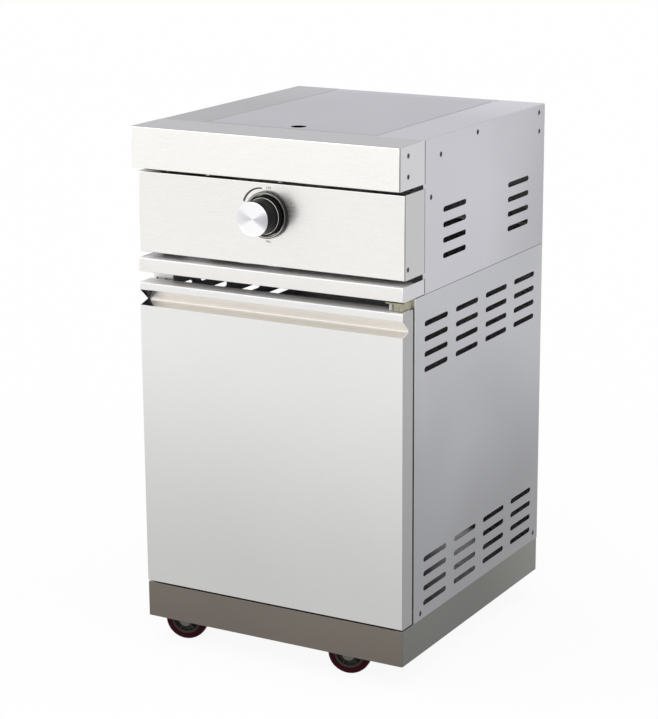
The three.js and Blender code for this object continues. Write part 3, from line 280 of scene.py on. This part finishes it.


# painted shade: the castors' zinc is a darker copy of the zinc plate further down, for the dark under the
# cabinet
shaded_zinc = cast_or_moulded("shaded_zinc_plate", (0.11, 0.105, 0.094), 0.42, 1.0, 220, 0.16)
tyre_red = cast_or_moulded("red_polyurethane", (0.030, 0.0019, 0.0056), 0.4, 0.0, 90, 0.25, 0.08, gloss=0.05)
hub_nylon = cast_or_moulded("grey_brown_nylon", (0.038, 0.033, 0.029), 0.5, 0.0, 300, 0.12, gloss=0.1)
# all four are parked alike, with the wheel trailing to the left and turned a little
pivot, trail, wheel_radius, parked = Vector((-0.1626, -0.2063, 0)), 0.029, 0.0375, math.radians(15)
axle = Vector((math.sin(parked), -math.cos(parked), 0))
wheel_middle = pivot + Vector((-trail * math.cos(parked), -trail * math.sin(parked), wheel_radius))
track, wheelbase, upward = 0.3252, 0.4244, (0, 0, 1)
castor_shifts = {
    "front_left": Vector((0, 0, 0)),
    "front_right": Vector((track, 0, 0)),
    "rear_left": Vector((0, wheelbase, 0)),
    "rear_right": Vector((track, wheelbase, 0)),
}
tread = [(0.0268, 0.0106), (0.0315, 0.0110), (0.0335, 0.0108), (0.0352, 0.0098), (0.0366, 0.0078),
         (0.0373, 0.0045), (0.0375, 0)]
tyre = spun("tyre", tread + mirrored(tread[:-1]) + tread[:1], wheel_middle, axle, 96)
rim = [(0.0044, 0.0118), (0.0086, 0.0118), (0.0092, 0.0108), (0.0104, 0.0060), (0.0128, 0.0044),
       (0.0190, 0.0036), (0.0210, 0.0050), (0.0222, 0.0094), (0.0232, 0.0100), (0.0265, 0.0100)]
hub = spun("hub", rim + mirrored(rim) + rim[:1], wheel_middle, axle, 72)


def seen_from(side):
    """The turn and shift that carry a piece modelled along Z to one side of the wheel."""
    return Matrix.Translation(wheel_middle) @ (axle * side).to_track_quat("Z", "Y").to_matrix().to_4x4()


def on_both_sides(name, corners, radius, thick, out):
    """A disc or a nut on each side of the wheel, with its middle this far out along the axle."""
    disc = primitive("cylinder", name, vertices=corners, radius=radius, depth=thick, location=(0, 0, out))
    bpy.ops.object.transform_apply(location=True, rotation=True, scale=True)
    pair = [copied(disc, name, seen_from(side)) for side in (1, -1)]
    bpy.data.objects.remove(disc)
    return pair


rib = block("rib", (0.0096, -0.0011, 0.0028), (0.0218, 0.0011, 0.0088))
ribs, spokes, first_spoke = [], 5, 0.4
for side in (1, -1):
    for spoke in range(spokes):
        turned = Matrix.Rotation(math.tau * spoke / spokes + first_spoke, 4, "Z")
        ribs.append(copied(rib, "rib", seen_from(side) @ turned))
bpy.data.objects.remove(rib)
hub = joined("hub", *ribs, hub)
rounded(hub, 0.0004)
plate, fork = worked_from("front_left_castor_plate", "plate"), worked_from("front_left_castor_fork", "fork")
rounded(plate, 0.0004)
# each leg ends in a round lug at the axle
fork = joined("fork", *on_both_sides("lug", 32, 0.0110, 0.0027, 0.01425), fork)
rounded(fork, fine_edge)
# a hexagon head on one side of the fork and a nut on the other
axle_bolt = joined("axle_bolt", *on_both_sides("axle_end", 6, 0.0072, 0.0036, 0.0171))
rounded(axle_bolt, 0.0005)
# four domed bolt heads under the plate
plate_bolt = spun("plate_bolt", [(0, 0.0968), (0.0026, 0.0970), (0.0044, 0.0980), (0.0050, 0.0994),
                                 (0.0050, 0.1009), (0, 0.1009)], pivot, upward, 20)
bolt_reach = (-0.021, 0.021)
corners = [(x, y, 0) for x in bolt_reach for y in bolt_reach]
plate_bolts = joined("plate_bolts", *[copied(plate_bolt, "plate_bolt", corner) for corner in corners])
bpy.data.objects.remove(plate_bolt)
for model, kind, look, carrier, slot, stands_for in (
    (tyre, "tyre", tyre_red, "wheel", "red_tyre", "castor_tyre"),
    (hub, "hub", hub_nylon, "wheel", "grey_plastic", "castor_hub"),
    (plate, "plate", shaded_zinc, "cabinet", "zinc", "castor_plate"),
    (fork, "fork", shaded_zinc, "fork", "zinc", "castor_fork"),
    (axle_bolt, "axle_bolt", shaded_zinc, "fork", "zinc", None),
    (plate_bolts, "plate_bolts", shaded_zinc, "cabinet", "zinc", None),
):
    for spot, shift in castor_shifts.items():
        body = carrier if carrier == "cabinet" else f"{spot}_{carrier}"
        nodes = (f"{spot}_{stands_for}",) if stands_for else ()
        finished(copied(model, f"{spot}_castor_{kind}_piece", shift), look, body, nodes)
    bpy.data.objects.remove(model)


# Screws in the side walls: dark pan heads with a cross recess, sunk in dimples so that two modules
# can stand side by side. One is made, facing along X, and every other screw is a copy of it.
dark_screw = cast_or_moulded("blackened_screw", (0.09, 0.088, 0.09), 0.38, 1.0, 500, 0.2)
screw = spun("screw", [(0, 0.0004), (0.0012, 0.00035), (0.0026, 0), (0.0036, -0.0007), (0.0039, -0.0012),
                       (0.0040, -0.0016), (0.0043, -0.0017), (0.0043, -0.0024), (0.0019, -0.0026),
                       (0.0019, -0.0085), (0, -0.0095)], (0, 0, 0), (1, 0, 0), 24)
for tall, wide in ((0.0022, 0.00042), (0.00042, 0.0022)):
    cutter = block("cross", (-0.0008, -wide, -tall), (0.002, wide, tall))
    only(screw)
    recess = screw.modifiers.new("recess", "BOOLEAN")
    recess.object, recess.operation, recess.solver = cutter, "DIFFERENCE", "EXACT"
    bpy.ops.object.modifier_apply(modifier=recess.name)
    bpy.data.objects.remove(cutter)


def add_screws(name, body, places, facing):
    """Copies of the screw with their heads at these places, as one piece."""
    turn = Vector(facing).to_track_quat("X", "Z").to_matrix().to_4x4()
    row = [copied(screw, name, Matrix.Translation(spot) @ turn @ Matrix.Rotation(0.5 * i + 0.3, 4, "X"))
           for i, spot in enumerate(places)]
    return finished(joined(name, *row), dark_screw, body, flat=30)


def dimpled(piece, places, facing="Y", radius=0.0044, depth=0.0064):
    """Cuts the round dimples that the screw heads sit in."""
    turn = (0, math.pi / 2, 0) if facing == "X" else (math.pi / 2, 0, 0)
    punch = {"vertices": 24, "radius": radius, "depth": depth, "rotation": turn}
    tool = joined("dimples", *[primitive("cylinder", "dimple", location=spot, **punch) for spot in places])
    only(piece)
    cut = piece.modifiers.new("dimples", "BOOLEAN")
    cut.object, cut.operation, cut.solver = tool, "DIFFERENCE", "EXACT"
    bpy.ops.object.modifier_apply(modifier=cut.name)
    bpy.data.objects.remove(tool)


# Lower side panels: satin stainless with the grain running up, a folded front jamb, two fields of
# punched slots and a screw low at each end into the plinth.
# painted shade: the lower walls' tone falls to about half towards the floor, and their sides are greyer than
# their fronts
lower_steel = sheet_steel("lower_side_steel", (0.80, 0.78, 0.76), (0.487, 0.490, 0.518), (0.4, 0.4, 0.42),
                          0.34, "z", 0.07, (0.12, 0.54), (0.62, 1.0))
screw_face, wall_edge, hands = 0.2495, 0.00025, {-1: "left", 1: "right"}
side_screws = {
    "lower": ((-0.1829, 0.1155), (0.2691, 0.1185)),
    "upper": ((-0.1179, 0.8755), (0.0171, 0.8925), (0.2631, 0.8925), (0.2651, 0.8595), (-0.1519, 0.8115)),
    "panel": ((-0.2309, 0.7085),),
    "cap": ((-0.2309, 0.8895), (-0.2309, 0.8565)),
}


def lowered(piece, seam=0.6562, by=0.0006):
    """Takes the top edge of a lower wall down a little, which opens the joint to the upper wall."""
    for corner in piece.data.vertices:
        corner.select = corner.co.z > seam
    bpy.ops.object.mode_set(mode="EDIT")
    bpy.ops.mesh.select_mode(type="VERT")
    bpy.ops.transform.translate(value=(0, 0, -by))
    bpy.ops.object.mode_set(mode="OBJECT")


def screwed_wall(node, name, kind, look, sides, edge, steps):
    """A sheet with its rounded edges, its dimples and its side screws."""
    piece = worked_from(node, name)
    if kind == "lower":
        lowered(piece)
    rounded(piece, edge, steps)
    for side in sides:
        places = [(side * screw_face, y, z) for y, z in side_screws[kind]]
        dimpled(piece, places, "X")
        add_screws(f"{hands[side]}_{kind}_screws", "cabinet", places, (side, 0, 0))
    return finished(piece, look, "cabinet", (node,))


for side, hand in hands.items():
    screwed_wall(f"{hand}_side_panel", f"{hand}_lower_wall", "lower", lower_steel,
                 (side,), wall_edge, 1)

# Floor and heat shield: plain satin trays that close the bottle space below and above.
inner_steel = sheet_steel("inner_steel", (0.42, 0.42, 0.42), (0.4, 0.4, 0.41), (0.44, 0.44, 0.45), 0.4,
                          "x", 0.05)
from_sheet("cabinet_floor", "floor_tray", inner_steel, "cabinet", fine_edge)
from_sheet("heat_shield", "shield_tray", inner_steel, "cabinet", fine_edge)

# Upper side panels: one sheet from the seam up over the deck and down into the burner well, with two
# fields of slots and five screws that hold the ledges and the back.
# painted shade: the left deck's top tone is darker than the right's, and each upper wall darkens towards the
# floor and at the back of its side
painted_deck_tones = {"left": (0.292, 0.287, 0.312), "right": (0.425, 0.415, 0.465)}
for side, hand in hands.items():
    upper_steel = sheet_steel(f"upper_{hand}_steel", (0.70, 0.69, 0.69), (0.575, 0.570, 0.612),
                              painted_deck_tones[hand], 0.32, "z", 0.035, (0.64, 0.93), (0.9, 1.0), (0.80, 1.21))
    screwed_wall(f"upper_{hand}_panel", f"{hand}_upper_wall", "upper", upper_steel,
                 (side,), wall_edge, 1)
# painted shade: a black strip in the seams behind the cap, the panel and the rail, and along the joint over
# the lower wall, where the joints have only shadow
seam_shade_strip = cast_or_moulded("black_shade_strip", (0.02, 0.02, 0.022), 0.7, 0.0, 300, 0.2)
upright_seam, level_seam, tape_root = (-0.1741, -0.1720), (-0.1719, 0.2868), 0.2489
for side, hand in hands.items():
    shade_strips = []
    for (y_low, y_high), (z_low, z_high), face in (
        (upright_seam, (0.8362, 0.9040), 0.24985),
        (upright_seam, (0.6920, 0.8280), 0.24965),
        (upright_seam, (0.6583, 0.6820), 0.24998),
        (level_seam, (0.6556, 0.6567), 0.2497),
    ):
        near, far = sorted((side * tape_root, side * face))
        shade_strips.append(block("shade_strip", (near, y_low, z_low), (far, y_high, z_high)))
    shade_strip = joined(f"{hand}_seam_shade_strip", *shade_strips)
    rounded(shade_strip, 0.0001, 1)
    finished(shade_strip, seam_shade_strip, "cabinet")

# Back panel: one flanged sheet with low vent slots, a row of screws down each edge and the hose hole
# with its rubber grommet, which has a soft rounded lip on both faces.
back_steel = sheet_steel("back_steel", (0.5, 0.5, 0.51), (0.5, 0.5, 0.52), (0.43, 0.422, 0.465), 0.36,
                         "z", 0.05)
back_face, screw_columns, screw_rows = 0.2866, (-0.236, 0.236), (0.14, 0.31, 0.48, 0.62, 0.69, 0.85)
back_places = [(x, back_face, z) for x in screw_columns for z in screw_rows]
back = worked_from("back_panel", "back_sheet")
rounded(back, fine_edge, 1)
dimpled(back, back_places)
finished(back, back_steel, "cabinet", ("back_panel",))
add_screws("back_screws", "cabinet", back_places, (0, 1, 0))
rubber = cast_or_moulded("black_rubber", (0.012, 0.012, 0.012), 0.62, 0.0, 260, 0.2)
lip = [(0.0112, -0.0027), (0.0124, -0.0034), (0.0172, -0.0034), (0.0189, -0.0022), (0.0189, -0.0008),
       (0.0168, -0.0002), (0.0166, 0.0010), (0.0189, 0.0014), (0.0190, 0.0022), (0.0172, 0.0030),
       (0.0124, 0.0030), (0.0112, 0.0022), (0.0112, -0.0027)]
grommet = spun("grommet_lip", lip, (0.17, 0.2868, 0.2945), (0, 1, 0), 48)
finished(grommet, rubber, "cabinet", ("hose_grommet",))

# Front rail, control panel and front cap: bright stainless trays with the grain running across. Their
# sides fold back over the tongues of the upper panels and are screwed there.
rail_steel = sheet_steel("rail_steel", (0.845, 0.828, 0.808), (0.60, 0.595, 0.61), (0.8, 0.79, 0.77), 0.28,
                         "x", 0.01, top_metal=0.1)
# painted shade: the panel and the cap darken on their upright bends, and their sides and tops are greyer than
# their fronts
panel_steel = sheet_steel("panel_steel", (0.872, 0.855, 0.832), (0.53, 0.53, 0.535), (0.5, 0.5, 0.5), 0.28,
                          "x", 0.012, bend=0.1)
cap_steel = sheet_steel("cap_steel", (0.918, 0.908, 0.874), (0.62, 0.615, 0.635), (0.345, 0.335, 0.355),
                        0.28, "x", 0.012, bend=0.1)
# the rail's upper lip runs well back, and shows through the gap under the panel
rail = worked_from("front_rail", "rail_tray")
lip_reach, lip_front, lip_back, lip_low, lip_high = 0.2470, -0.2460, -0.2040, 0.6812, 0.6821
rail_lip = block("rail_lip", (-lip_reach, lip_front, lip_low), (lip_reach, lip_back, lip_high))
rail = joined("rail_tray", rail_lip, rail)
rounded(rail, fine_edge)
finished(rail, rail_steel, "cabinet", ("front_rail",))
screwed_wall("control_panel", "panel_tray", "panel", panel_steel, (-1, 1), fine_edge, 2)
screwed_wall("front_cap", "cap_tray", "cap", cap_steel, (-1, 1), fine_edge, 2)

# Dial marks: dark grey ink printed on the panel, an arc that thins towards its end, and two plain
# words at the knob's stops.
ink = cast_or_moulded("grey_ink", (0.06, 0.06, 0.062), 0.5, 0.0, 900, 0.2)
knob_height, print_face, print_depth = 0.7763, -0.24195, 0.0001
discs = []
for radius, x, z, depth in ((0.03590, -0.01218, 0.00757, print_depth), (0.03363, -0.01066, 0.00762, 0.001)):
    discs.append(primitive("cylinder", "heat_arc", vertices=160, radius=radius, depth=depth,
                           location=(x, print_face, knob_height + z), rotation=(math.pi / 2, 0, 0)))
    bpy.ops.object.transform_apply(location=True, rotation=True, scale=True)
arc, inside = discs
only(arc)
hollow = arc.modifiers.new("hollow", "BOOLEAN")
hollow.object, hollow.operation, hollow.solver = inside, "DIFFERENCE", "EXACT"
bpy.ops.object.modifier_apply(modifier=hollow.name)
bpy.data.objects.remove(inside)
arc_ends = (67.5, 193)
bpy.ops.object.mode_set(mode="EDIT")
for turn in map(math.radians, arc_ends):
    bpy.ops.mesh.select_all(action="SELECT")
    bpy.ops.mesh.bisect(plane_co=(0, 0, knob_height), plane_no=(-math.cos(turn), 0, -math.sin(turn)),
                        use_fill=True, clear_outer=True)
bpy.ops.object.mode_set(mode="OBJECT")
finished(arc, ink, "cabinet")
for words, name, x, z in (("OFF", "off_mark", 0.0030, 0.8186), ("MIN", "low_mark", 0.0008, 0.7302)):
    bpy.ops.object.select_all(action="DESELECT")
    bpy.ops.object.text_add(location=(x, print_face, z), rotation=(math.pi / 2, 0, 0))
    label = bpy.context.object
    label.data.body, label.data.size, label.data.extrude = words, 0.0052, print_depth / 2
    label.data.align_x = "CENTER"
    bpy.ops.object.convert(target="MESH")
    bpy.ops.object.transform_apply(location=True, rotation=True, scale=True)
    label = bpy.context.object
    label.name = name
    finished(label, ink, "cabinet")

# Knob: a moulded body in gloss black with a thin polished ring, and a polished bezel that stands on
# the panel round its foot.
gloss_black = cast_or_moulded("gloss_black", (0.006, 0.0055, 0.0058), 0.3, 0.0, 200, 0.15, 0.05, gloss=0.07)
chrome = cast_or_moulded("polished_ring", (0.62, 0.61, 0.6), 0.12, 1.0, 120, 0.05, 0.03)
bezel_chrome = cast_or_moulded("polished_bezel", (0.40, 0.395, 0.37), 0.2, 1.0, 120, 0.08, 0.04)
knob_foot, outward, facets = (0, 0, knob_height), (0, -1, 0), 96
grip = spun("knob_grip", [(0, 0.2480), (0.0318, 0.2480), (0.0329, 0.2486), (0.0330, 0.2545), (0.0324, 0.2556),
                          (0.0296, 0.2560), (0.0290, 0.2566), (0.0288, 0.2700), (0.0284, 0.2858),
                          (0.0280, 0.2868), (0.0270, 0.2872), (0, 0.2872)], knob_foot, outward, facets)
finished(grip, gloss_black, "knob", ("knob_body",))
trim = spun("knob_trim", [(0.0292, 0.2561), (0.0300, 0.2561), (0.0303, 0.2566), (0.0303, 0.2577),
                          (0.0299, 0.2582), (0.0292, 0.2582), (0.0292, 0.2561)], knob_foot, outward, facets)
finished(trim, chrome, "knob", ("knob_ring",))
bezel = spun("bezel_ring", [(0.0162, 0.2423), (0.0378, 0.2423), (0.0378, 0.2498), (0.0374, 0.2502),
                            (0.0352, 0.2502), (0.0346, 0.2496), (0.0345, 0.2436), (0.0162, 0.2436),
                            (0.0162, 0.2423)], knob_foot, outward, facets)
finished(bezel, bezel_chrome, "cabinet", ("knob_bezel",))
# painted reflection: the bezel's outer wall is a gloss black ring that stands for the dark that the polished
# wall mirrors
painted_reflection_collar = spun("bezel_reflection_collar", [(0.0378, 0.2423), (0.0384, 0.2423), (0.0385, 0.2428), (0.0385, 0.2494),
                               (0.0378, 0.2500), (0.0378, 0.2423)], knob_foot, outward, facets)
finished(painted_reflection_collar, gloss_black, "cabinet")

# Knob face: spun aluminium pressed into the grip. Its turning marks run in circles and throw the
# light as a bow tie, which is painted into its colour as a painted highlight with shaded wings.
bow_tie_highlight, bow_tie_shade, mark_rate, face_radius = (0.95, 0.95, 0.96, 1), (0.50, 0.50, 0.54, 1), 14000, 0.028
face_alloy, tree, shader = new_finish("spun_aluminium")
place = wired(tree, "TexCoord")
centred = wired(tree, "Mapping", {"Location": (0, 0, -knob_height), "Vector": place.outputs["Object"]})
across = wired(tree, "SeparateXYZ", {0: centred.outputs[0]})
bearing = wired(tree, "Math", {0: across.outputs["Z"], 1: across.outputs["X"]}, operation="ARCTAN2")
bow = wired(tree, "Math", {0: bearing.outputs[0], 1: 2, 2: 0.1}, operation="MULTIPLY_ADD")
wings = wired(tree, "Math", {0: bow.outputs[0]}, operation="COSINE")
narrow = ranged(tree, wings.outputs[0], 0.1, 1, curve="SMOOTHSTEP")
# the painted shade of the wing on the right is the stronger
lean = ranged(tree, across.outputs["X"], -face_radius, face_radius, 0.35, 1)
share = wired(tree, "Math", {0: narrow, 1: lean}, operation="MULTIPLY")
painted_bow_tie = wired(tree, "Mix", {6: bow_tie_highlight, 7: bow_tie_shade, "Factor": share.outputs[0]}, data_type="RGBA")
distance = wired(tree, "VectorMath", {0: centred.outputs[0]}, operation="LENGTH")
rings = wired(tree, "Math", {0: distance.outputs["Value"], 1: mark_rate}, operation="MULTIPLY")
ridges = wired(tree, "Math", {0: rings.outputs[0]}, operation="SINE")
marks = wired(tree, "Bump", {"Strength": 0.08, "Distance": 0.0001, "Height": ridges.outputs[0]})
feed(tree, shader, {
    "Metallic": 1,
    "Roughness": 0.24,
    "Base Color": painted_bow_tie.outputs[2],
    "Normal": marks.outputs[0],
})
knob_face = spun("knob_face", [(0, 0.2876), (0.0276, 0.2876), (0.0283, 0.2880), (0.0284, 0.2892),
                               (0.0280, 0.2898), (0.0268, 0.2899), (0.0250, 0.2894), (0, 0.2891)],
                 knob_foot, outward, facets)
finished(knob_face, face_alloy, "knob", ("knob_cap",), 20)

# Door: a skin with returned edges, a liner that closes its back, and between them a V profile that
# makes the finger groove. The profile's left end stops short of the cheek and leaves a dark gap.
# painted shade: the door's sides have half the face's tone, and the face grows darker towards the floor
door_steel = sheet_steel("door_steel", (0.80, 0.795, 0.79), (0.40, 0.40, 0.405), (0.8, 0.79, 0.78), 0.3, "x",
                         0.015, (0.10, 0.69), (0.60, 1.0), top_metal=0.1)
from_sheet("door_skin", "door_face", door_steel, "door", fine_edge)
from_sheet("door_liner", "door_back", inner_steel, "door", fine_edge)
groove_steel = sheet_steel("groove_steel", (0.895, 0.877, 0.857), (0.75, 0.73, 0.70), (0.733, 0.708, 0.665),
                           0.34, "x", 0.02)
groove = worked_from("door_handle_profile", "groove_profile")
slant_at, slant_facing = (-0.2457, -0.2239, 0.6), (-0.697, -0.717, 0)
bpy.ops.object.mode_set(mode="EDIT")
bpy.ops.mesh.select_all(action="SELECT")
bpy.ops.mesh.bisect(plane_co=slant_at, plane_no=slant_facing, use_fill=True, clear_outer=True)
bpy.ops.object.mode_set(mode="OBJECT")
rounded(groove, fine_edge)
finished(groove, groove_steel, "door", ("door_handle_profile",))

# Hinge, catch: an olive plated angle screwed on the right jamb, its tab over the door's corner, the
# pins that the door turns on, a nylon washer under the door, and a magnet that holds it shut.
zinc = cast_or_moulded("zinc_plate", (0.30, 0.285, 0.25), 0.34, 1.0, 220, 0.16)
olive_zinc = cast_or_moulded("olive_zinc", (0.36, 0.34, 0.25), 0.32, 1.0, 160, 0.22)
white_nylon = cast_or_moulded("white_nylon", (0.72, 0.71, 0.67), 0.42, 0.0, 200, 0.04)
hinge = worked_from("upper_hinge_bracket", "hinge_angle")
fold_right, fold_front, fold_low, fold_high = 0.2444, -0.2386, 0.6412, 0.6530
front_fold = block("front_fold", (0.2290, -0.2399, fold_low), (fold_right, fold_front, fold_high))
side_fold = block("side_fold", (0.2431, fold_front, fold_low), (fold_right, -0.2074, fold_high))
hinge = joined("hinge_angle", front_fold, side_fold, hinge)
rounded(hinge, fine_edge)
finished(hinge, olive_zinc, "cabinet", ("upper_hinge_bracket",))
hinge_line = (0.2205, -0.2309, 0)
bush = spun("hinge_bush", [(0, 0.6404), (0.0030, 0.6404), (0.0036, 0.6410), (0.0036, 0.6500),
                           (0.0030, 0.6526), (0, 0.6526)], hinge_line, upward, 24)
finished(bush, white_nylon, "cabinet")
add_screws("hinge_screws", "cabinet", [(x, -0.2084, 0.6395) for x in (0.224, 0.242)], (0, -1, 0))
from_sheet("upper_hinge_pin", "upper_pin", zinc, "door", 0.0004)
from_sheet("lower_hinge_pin", "lower_pin", zinc, "door", 0.0004)
from_sheet("hinge_washer", "nylon_washer", white_nylon, "cabinet", fine_edge)
from_sheet("magnet_catch", "catch_case", white_nylon, "cabinet", 0.0004)
from_sheet("strike_plate", "strike", zinc, "door", fine_edge)

# Lid: a flush stainless tray over the burner, with a finger hole, two pivot pins at the back and a
# rubber bumper under each front corner.
# painted shade: the lid's faces and top are set darker than the same steel on the fronts
lid_steel = sheet_steel("lid_steel", (0.45, 0.445, 0.47), (0.5, 0.5, 0.52), (0.343, 0.334, 0.380), 0.3,
                        "x", 0.06, rear=(1, 1.05))
from_sheet("lid", "lid_sheet", lid_steel, "lid", fine_edge)
for hand in ("left", "right"):
    from_sheet(f"lid_pin_{hand}", f"{hand}_pivot", zinc, "lid", 0.0004)
    from_sheet(f"lid_bumper_{hand}", f"{hand}_bumper", rubber, "cabinet", 0.0008, 3)

# Burner: a pressed bowl, a casting with its mixing tube, a brass flame ring with milled ports, an
# enamelled cap, a cast iron pan support and a spark electrode in a ceramic sleeve.
bowl_steel = sheet_steel("bowl_steel", (0.5, 0.5, 0.51), (0.5, 0.5, 0.51), (0.52, 0.52, 0.53), 0.24,
                         "x", 0.05)
iron = cast_or_moulded("cast_iron", (0.016, 0.016, 0.017), 0.62, 0.1, 700, 0.35, 0.6)
enamel = cast_or_moulded("black_enamel", (0.007, 0.007, 0.008), 0.14, 0.0, 300, 0.2, 0.08, 0.5)
brass = cast_or_moulded("turned_brass", (0.58, 0.40, 0.17), 0.28, 1.0, 350, 0.12)
alloy = cast_or_moulded("cast_alloy", (0.30, 0.30, 0.31), 0.5, 1.0, 500, 0.2, 0.4)
ceramic = cast_or_moulded("glazed_ceramic", (0.8, 0.79, 0.75), 0.14, 0.0, 150, 0.03, 0.04, 0.4)
from_sheet("burner_bowl", "bowl_pressing", bowl_steel, "cabinet", fine_edge)
from_sheet("burner_body", "burner_casting", alloy, "cabinet", 0.0006)
from_sheet("flame_ring", "port_ring", brass, "cabinet", fine_edge)
from_sheet("pan_support", "support_casting", iron, "cabinet", 0.0012)
burner_middle, spark_place = (0, 0.0516, 0), (0.058, 0.0515, 0)
cap = spun("enamel_cap", [(0, 0.8488), (0.0380, 0.8488), (0.0384, 0.8526), (0.0455, 0.8526), (0.0463, 0.8532),
                          (0.0464, 0.8546), (0.0456, 0.8560), (0.0400, 0.8582), (0.0300, 0.8596),
                          (0.0160, 0.8604), (0, 0.8606)], burner_middle, upward, 72)
finished(cap, enamel, "cabinet", ("burner_cap",))
sleeve = spun("spark_sleeve", [(0, 0.7932), (0.0034, 0.7932), (0.0034, 0.8060), (0.0054, 0.8070),
                               (0.0055, 0.8108), (0.0036, 0.8120), (0.0035, 0.8400), (0.0026, 0.8420),
                               (0.0011, 0.8422), (0.0010, 0.8466), (0, 0.8470)], spark_place, upward, 32)
finished(sleeve, ceramic, "cabinet", ("spark_electrode",))

# Gas fittings behind the panel: a brass valve on its zinc bracket, the spindle, the injector and the
# barbed nipple that takes the hose.
from_sheet("valve_bracket", "valve_strap", zinc, "cabinet", fine_edge)
from_sheet("gas_valve", "valve_body", brass, "cabinet", 0.0004)
from_sheet("injector", "jet", brass, "cabinet", fine_edge)
from_sheet("hose_nipple", "barbed_nipple", brass, "cabinet", fine_edge)
from_sheet("valve_spindle", "valve_stem", brass, "spindle", fine_edge)
bpy.data.objects.remove(screw)

# The studio: a long lens at eye height, a few steps away, to the right of the module's front. The
# angle and distance are those of the photograph, measured from the door's face and the plinth.
lens_mm, sensor_mm = 119.93, 36
yaw, pitch, roll = math.radians(29.506), math.radians(14.79), math.radians(-0.3575)
eye_right, eye_ahead, eye_up = 1.7999, 2.97596, 1.4105
door_low, plinth_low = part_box("door_skin")[0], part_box("plinth")[0]
camera = bpy.data.objects.new("camera", bpy.data.cameras.new("camera"))
bpy.context.scene.collection.objects.link(camera)
camera.data.lens, camera.data.sensor_width, camera.data.sensor_fit = lens_mm, sensor_mm, "HORIZONTAL"
flat_right = Vector((math.cos(yaw), math.sin(yaw), 0))
ahead = Vector((-math.sin(yaw) * math.cos(pitch), math.cos(yaw) * math.cos(pitch), -math.sin(pitch)))
above = flat_right.cross(ahead)
right = flat_right * math.cos(roll) + above * math.sin(roll)
up = above * math.cos(roll) - flat_right * math.sin(roll)
camera.matrix_world = Matrix((right, up, -ahead)).transposed().to_4x4()
camera.location = (eye_right, door_low.y - eye_ahead, plinth_low.z + eye_up)
camera.data.clip_end = 200
bpy.context.scene.camera = camera
bpy.context.scene.view_settings.view_transform = "Standard"

# The floor is a pale sweep that runs out of view. It shows white, as the photograph's does, also in
# the steel that mirrors it, and a part of its tone stays real so that it takes a soft shadow.
floor_span, floor_albedo, floor_glow = 120, 0.95, 0.92


def white_when_seen(tree, plain, glowing, share, out):
    """Mixes a plain surface with a white one, which the camera and clear or mirrored rays see."""
    rays = wired(tree, "LightPath")
    seen = rays.outputs["Is Camera Ray"]
    for ray in ("Is Glossy Ray", "Is Transmission Ray"):
        seen = wired(tree, "Math", {0: seen, 1: rays.outputs[ray]}, operation="MAXIMUM").outputs[0]
    part = wired(tree, "Math", {0: seen, 1: share}, operation="MULTIPLY")
    mix = wired(tree, "MixShader", {"Fac": part.outputs[0], 1: plain.outputs[0], 2: glowing.outputs[0]})
    wired(tree, out, {"Surface": mix.outputs[0]})


floor = primitive("grid", "studio_floor", x_subdivisions=4, y_subdivisions=4, size=floor_span,
                  location=(0, 0, 0))
paper = bpy.data.materials.new("studio_paper")
paper.use_nodes = True
paper.node_tree.nodes.clear()
matt_paper = wired(paper.node_tree, "BsdfDiffuse", {"Color": (floor_albedo, floor_albedo, floor_albedo, 1)})
white_when_seen(paper.node_tree, matt_paper, wired(paper.node_tree, "Emission"), floor_glow, "OutputMaterial")
floor.data.materials.append(paper)

# Soft studio light: a white room at a plain level, a broad key from the front left, a weaker lamp
# from the right and one from above.
room_level = 0.55
room = bpy.data.worlds.new("white_room")
bpy.context.scene.world = room
room.use_nodes = True
room.node_tree.nodes.clear()
room_light, room_white = [wired(room.node_tree, "Background", {"Color": (1, 1, 1, 1), "Strength": level})
                          for level in (room_level, 1)]
white_when_seen(room.node_tree, room_light, room_white, 1, "OutputWorld")
for lamp_name, towards, strength, spread in (
    ("key", (0.45, 0.75, -0.6), 1.1, 110),
    ("side", (-0.9, 0.35, -0.45), 0.5, 110),
    ("top", (0.05, 0.1, -1), 0.5, 120),
):
    lamp = bpy.data.objects.new(lamp_name, bpy.data.lights.new(lamp_name, "SUN"))
    bpy.context.scene.collection.objects.link(lamp)
    lamp.rotation_euler = Vector(towards).to_track_quat("-Z", "Y").to_euler()
    lamp.data.energy, lamp.data.angle = strength, math.radians(spread)
